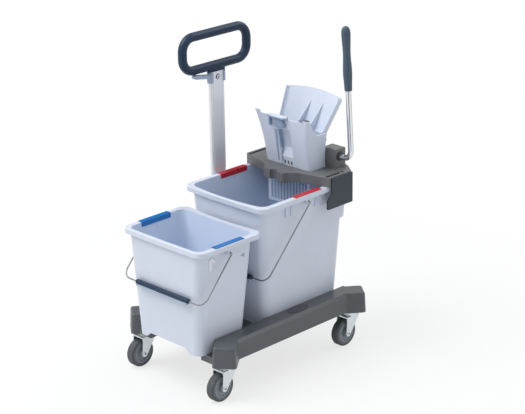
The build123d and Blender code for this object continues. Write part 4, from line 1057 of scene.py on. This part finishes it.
@dataclass
class Chassis:
    """The chassis with its push post: ribs under the rails, and beads along the post."""

    rail_middle: float = 152.0 * MM
    rail_rib_bar: Place = (44.4 * MM, 2.5 * MM, 40.0 * MM)
    rail_rib_height: float = 128.0 * MM
    rail_rib_pitch: float = 38.0 * MM
    rail_rib_ease: float = 0.4 * MM
    rail_rows: tuple[tuple[Side, float, int], ...] = (
        (Side.RIGHT, -136.0 * MM, 9), (Side.LEFT, -136.0 * MM, 5), (Side.LEFT, 122.0 * MM, 2))
    bead_bar: Place = (1.2 * MM, 1.8 * MM, 556.0 * MM)
    bead_spread: float = 34.0 * MM
    bead_middle: float = 461.0 * MM
    bead_ease: float = 0.5 * MM
    washer_inner: float = 6.1 * MM
    washer_outer: float = 7.9 * MM
    washer_height: float = 1.2 * MM
    washer_sunk: float = 0.3 * MM
    washer_slope: float = 0.4 * MM
    washer_steps: int = 48
    drive_bar: Place = (3.2 * MM, 1.8 * MM, 0.8 * MM)
    drive_ease: float = 0.2 * MM

    def dress(self, shop: Workshop) -> None:
        """Give the chassis, the post and the handle their finishes."""
        shop.dress(("chassis_frame", "socket_plug", "push_post", "push_handle", "hook_clip",
                    "handle_screw", "post_screw"))

    def build(self, shop: Workshop, row: RibRow, spokes: RibRing) -> None:
        """Add the ribs, the beads and the handle screw's details.

        Args:
            shop: The frame and the finishes.
            row: The tree that makes a row of ribs.
            spokes: The tree that makes a ring of ribs.
        """
        plastic = shop.finishes["chassis_plastic"]
        ribs = [self._rail_ribs(row, plastic, *place) for place in self.rail_rows]
        shop.add("chassis_rail_ribs", joined("rail_ribs", ribs), "chassis", "chassis_plastic")
        shop.add("post_beads", self._beads(row, shop.finishes["post_aluminium"]), "chassis", "post_aluminium")
        self._screw_details(shop, spokes)

    def _rail_ribs(self, row: RibRow, plastic: Material, side: Side, start: float, count: int) -> Mesh:
        """Stand a row of ribs in a rail's hollow.

        Args:
            row: The tree that makes the row.
            plastic: The ribs' finish.
            side: The rail's side.
            start: Where the row starts along Y.
            count: How many ribs it has.

        Returns:
            The row in its place.
        """
        mesh = row.mesh({"Count": count, "Step": (0, self.rail_rib_pitch, 0), "Bar": self.rail_rib_bar,
                         "Material": plastic}, self.rail_rib_ease)
        mesh.transform(Matrix.Translation((side.value * self.rail_middle, start, self.rail_rib_height)))
        return mesh

    def _beads(self, row: RibRow, metal: Material) -> Mesh:
        """Run two beads along each wide face of the post.

        Args:
            row: The tree that makes the pair.
            metal: The post's finish.

        Returns:
            All four beads.
        """
        low, high = (Vector(corner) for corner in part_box("push_post"))
        beads = []
        for face in (low.x, high.x):
            pair = row.mesh({"Count": 2, "Step": (0, self.bead_spread, 0), "Bar": self.bead_bar,
                             "Material": metal}, self.bead_ease)
            middle = (low.y + high.y - self.bead_spread) / 2
            pair.transform(Matrix.Translation((face, middle, self.bead_middle)))
            beads.append(pair)
        return joined("post_beads", beads)

    def _screw_details(self, shop: Workshop, spokes: RibRing) -> None:
        """Put a dark washer on the handle's screw, and a dark cross that paints the shade in its cross drive.

        Args:
            shop: The frame and the finishes.
            spokes: The tree that makes the cross.
        """
        low, high = (Vector(corner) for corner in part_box("handle_screw"))
        post_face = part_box("push_post")[1][0]
        outward = Matrix.Rotation(math.pi / 2, 4, "Y")
        section = ring_section(self.washer_inner, self.washer_outer, -self.washer_sunk, self.washer_height,
                               (0.0, self.washer_slope))
        washer = lathed(section, self.washer_steps)
        middle = (low + high) / 2
        washer.transform(Matrix.Translation((post_face, middle.y, middle.z)) @ outward)
        # The dark raised cross paints the shade in the screw's cross recess.
        cross = spokes.mesh({"Count": 4, "Radius": self.drive_bar[0] / 2, "Bar": self.drive_bar,
                             "Material": shop.finishes["bush_plastic"]}, self.drive_ease)
        cross.transform(Matrix.Translation((high.x, middle.y, middle.z)) @ outward)
        shop.add("handle_screw_washer", joined("washer", [washer, cross]), "chassis", "bush_plastic")


@dataclass
class Bucket:
    """A lift-out bucket with rim clips, a wire bail and its moulded marks."""

    name: str
    marks: tuple[RaisedMark, ...]
    gussets: tuple[float, ...] = ()
    gusset_bar: Place = (5.5 * MM, 2.6 * MM, 38.0 * MM)
    gusset_gap: float = 20.0 * MM
    gusset_middle: float = 455.0 * MM
    gusset_sunk: float = 1.5 * MM
    gusset_ease: float = 0.5 * MM
    lip_section: Outline = ((-0.5 * MM, -2.0 * MM), (-6.0 * MM, -4.2 * MM), (-6.8 * MM, -6.2 * MM),
                            (-6.4 * MM, -9.2 * MM), (-4.8 * MM, -10.4 * MM), (0.5 * MM, -10.4 * MM))
    lip_margin: float = 4.0 * MM
    lip_ease: float = 0.4 * MM

    def dress(self, shop: Workshop) -> None:
        """Give the bucket, its clips and its bail their finishes."""
        shop.dress((f"{self.name}_bucket", f"{self.name}_clip_left", f"{self.name}_clip_right",
                    f"{self.name}_bail", f"{self.name}_bail_grip"))

    def build(self, shop: Workshop, row: RibRow) -> None:
        """Add the moulded marks, the ribs under the rim and the grip's lip, whose paler finish paints a
        reflection on the grip's lower edge.

        Args:
            shop: The frame and the finishes.
            row: The tree that makes a row of ribs.
        """
        body = f"{self.name}_bucket"
        sides = (Facing.LEFT, Facing.RIGHT)
        for mark in self.marks:
            shop.mark(mark, body, body, sides)
        ribs = [self._gusset(shop, row, facing, along) for along in self.gussets for facing in sides]
        if ribs:
            shop.add(f"{body}_gussets", joined("gussets", ribs), body, "bucket_plastic")
        # The lip takes the paler hook plastic as a painted reflection on the grip's lower edge.
        shop.add(f"{self.name}_bail_grip_reflection_lip", self._lip(), f"{self.name}_bail", "hook_plastic")

    def _gusset(self, shop: Workshop, row: RibRow, facing: Facing, along: float) -> Mesh:
        """Stand a pair of ribs under the rim.

        Args:
            shop: The frame and the finishes.
            row: The tree that makes the pair.
            facing: The way that the wall faces.
            along: The middle of the pair along the wall.

        Returns:
            The pair in its place.
        """
        mesh = row.mesh({"Count": 2, "Step": (0, self.gusset_gap, 0), "Bar": self.gusset_bar,
                         "Material": shop.finishes["bucket_plastic"]}, self.gusset_ease)
        wall = shop.skin(f"{self.name}_bucket").meet(facing, along, self.gusset_middle)
        out = wall + self.gusset_bar[0] / 2 - self.gusset_sunk
        place = facing.outward * out + facing.along * (along - self.gusset_gap / 2)
        mesh.transform(Matrix.Translation(place + Vector((0, 0, self.gusset_middle))))
        return mesh

    def _lip(self) -> Mesh:
        """Run a lip along the lower front edge of the bail's grip.

        Returns:
            The lip with its sloped front face.
        """
        low, high = (Vector(corner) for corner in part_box(f"{self.name}_bail_grip"))
        half = (high.x - low.x) / 2 - self.lip_margin
        middle = (low + high) / 2
        form = bmesh.new()
        face = form.faces.new([form.verts.new((middle.x - half, middle.y + out, middle.z + up))
                               for out, up in self.lip_section])
        moved = bmesh.ops.extrude_face_region(form, geom=[face])["geom"]
        ends = [item for item in moved if isinstance(item, bmesh.types.BMVert)]
        bmesh.ops.translate(form, verts=ends, vec=(2 * half, 0, 0))
        bmesh.ops.bevel(form, geom=form.edges[:], offset=self.lip_ease, segments=EASE_STEPS, affect="EDGES")
        return closed("grip_reflection_lip", form)


@dataclass
class Wringer:
    """The lever press on the rear bucket."""

    pieces: tuple[str, ...] = (
        "press_bridge", "press_side_clip_left", "press_side_clip_right", "press_basket", "basket_screws",
        "press_latch", "press_sieve", "jaw_hinge_rod", "shaft_bush_left", "shaft_bush_right", "spring_cap",
        "return_spring", "lever_tube", "push_finger_left", "push_finger_right", "finger_pins",
        "press_jaw")

    basket_marks: tuple[RaisedMark, ...] = (
        RaisedMark("notch_fill", "press_plastic", (
            (-54.4, 655.4), (-54.4, 632), (-52, 626.3), (-46.4, 623.6), (8.4, 623.6), (14, 626.3),
            (16.4, 632), (16.4, 655.4)), -0.15 * MM, 3.4 * MM, 0.1 * MM, -58),
        RaisedMark("latch_prong", "latch_plastic", (
            (-41, 655.4), (-34.5, 655.4), (-37.5, 645), (-39, 628.5), (-45, 628.5), (-44.5, 640)),
            8 * MM, 2 * MM, 1 * MM, -58),
        # The channel strips are darker plastic that paints the shade in the channel left of the latch.
        RaisedMark("channel_step_shade", "latch_plastic", (
            (-30.5, 619), (-18, 619), (-26, 524), (-31, 524)), 0.3 * MM, 3 * MM, 0.2 * MM, -21),
        RaisedMark("channel_ramp_shade", "latch_plastic", (
            (-16.8, 562.5), (-12, 562.5), (-11.5, 543), (-16.8, 543)), 0.3 * MM, 1 * MM, 0.1 * MM),
        RaisedMark("channel_foot_shade", "latch_plastic", (
            (-16.8, 540), (-11.5, 540), (-12, 524), (-16.8, 524)), 0.3 * MM, 1 * MM, 0.1 * MM),
        RaisedMark("channel_liner_shade", "latch_plastic", (
            (-17.3, 564), (-16.4, 564), (-16.4, 618), (-17.3, 618)), -0.4 * MM, 12.2 * MM, 0.1 * MM, -30),
        # A dark sheet behind the drain slits paints the shade inside them.
        RaisedMark("drain_baffle", "bush_plastic", (
            (-17, 517), (27, 517), (27, 532), (-17, 532)), -0.6 * MM, 2.2 * MM, 0.2 * MM, -30))
    latch: RaisedMark = RaisedMark("latch_body", "latch_plastic", (
        (-24, 655.4), (9, 655.4), (12, 648), (16.5, 636), (14, 631.5), (-22, 629), (-26.5, 632), (-25, 646)),
        9.5 * MM, 2 * MM, 2.2 * MM, -58)
    # A darker sheet behind the sieve's slots paints the shade seen through them.
    sieve_slot_shade_mark: RaisedMark = RaisedMark("baffle", "latch_plastic", (
        (-72, 402), (72, 402), (72, 470), (-72, 470)), -1.2 * MM, 2.4 * MM, 0.2 * MM, 0)
    jaw_mark: RaisedMark = RaisedMark("pad", "bridge_plastic", (
        (-22, 610), (16, 610), (16, 628.5), (6, 629), (-22, 619.5)), 1.5 * MM, 1.5 * MM, 0.4 * MM, 11)
    bar_size: Place = (71.0 * MM, 21.0 * MM, 4.6 * MM)
    bar_middle: Place = (-11.0 * MM, 150.3 * MM, 657.6 * MM)
    brow_size: Place = (69.0 * MM, 20.0 * MM, 2.4 * MM)
    brow_lift: float = 2.6 * MM
    slab_corner: float = 6.0 * MM
    slab_steps: int = 5
    slab_ease: float = 0.9 * MM

    def dress(self, shop: Workshop) -> None:
        """Give the press, the lever and the jaw their finishes."""
        shop.dress(self.pieces)
        shop.dress(("lever_grip",), "lever_grip_plastic")

    def build(self, shop: Workshop) -> None:
        """Add the latch with its brow, the forms round it, the strips that paint shade in the channel beside
        it, and the dark sheets that paint shade behind the slits and slots.

        Args:
            shop: The frame and the finishes.
        """
        front = (Facing.FRONT,)
        for mark in self.basket_marks:
            shop.mark(mark, "press_basket", "press", front)
        shop.mark(self.sieve_slot_shade_mark, "press_sieve", "press", front)
        shop.mark(self.jaw_mark, "press_jaw", "jaw", front)
        body = self.latch.mesh(shop.skin("press_basket"), Facing.FRONT)
        bar = self._slab(self.bar_size, Vector(self.bar_middle))
        latch = shop.add("latch", joined("latch", [body, bar]), "press", "latch_plastic")
        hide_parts("press_latch")
        brow = self._slab(self.brow_size, Vector(self.bar_middle) + Vector((0, 0, self.brow_lift)))
        shop.add("latch_brow", brow, "press", "press_plastic")

    def _slab(self, size: Place, middle: Vector) -> Mesh:
        """Make a level slab with rounded corners and eased edges.

        Args:
            size: Its size along each axis.
            middle: Its middle.

        Returns:
            The slab in its place.
        """
        form = bmesh.new()
        bmesh.ops.create_cube(form, size=1.0)
        bmesh.ops.scale(form, vec=size, verts=form.verts)
        bmesh.ops.translate(form, vec=middle, verts=form.verts)
        upright = [edge for edge in form.edges if abs(edge.verts[0].co.z - edge.verts[1].co.z) > MM]
        bmesh.ops.bevel(form, geom=upright, offset=self.slab_corner, segments=self.slab_steps, affect="EDGES")
        level = [edge for edge in form.edges if abs(edge.verts[0].co.z - edge.verts[1].co.z) < MM]
        bmesh.ops.bevel(form, geom=level, offset=self.slab_ease, segments=EASE_STEPS, affect="EDGES")
        return closed("slab", form)


# A raised arrow moulded in the bucket's plastic, with a lighter finish as a painted highlight.
FILL_ARROW = RaisedMark("arrow", "bucket_plastic", (
    (-260, 362), (-247, 362), (-247, 387), (-237, 381), (-237, 388), (-252, 402), (-260, 395)),
    look="highlit_mark_plastic")
# A darker raised triangle paints the shade of a small triangular dent.
FRONT_WEDGE_SHADE = RaisedMark("wedge_shade", "bucket_plastic", ((-145, 375), (-130, 368), (-130, 381)),
                         0.4 * MM, ease=0.2 * MM, look="latch_plastic")
REAR_GUSSETS = (33 * MM, 148 * MM)


def main() -> None:
    """Build every sub-assembly round the frame."""
    logging.basicConfig(level=logging.INFO, format="%(message)s")
    bpy.ops.wm.read_factory_settings(use_empty=True)
    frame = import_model()
    PhotoCamera().build()
    Studio().build()
    shop = Workshop(frame)
    spokes = RibRing()
    row = RibRow()
    for corner in Corner:
        caster = Caster(corner)
        caster.dress(shop)
        caster.build(shop)
    chassis = Chassis()
    chassis.dress(shop)
    chassis.build(shop, row, spokes)
    for bucket in (Bucket("front", (FILL_ARROW, FRONT_WEDGE_SHADE)), Bucket("rear", (), REAR_GUSSETS)):
        bucket.dress(shop)
        bucket.build(shop, row)
    wringer = Wringer()
    wringer.dress(shop)
    wringer.build(shop)


if __name__ == "__main__":
    main()
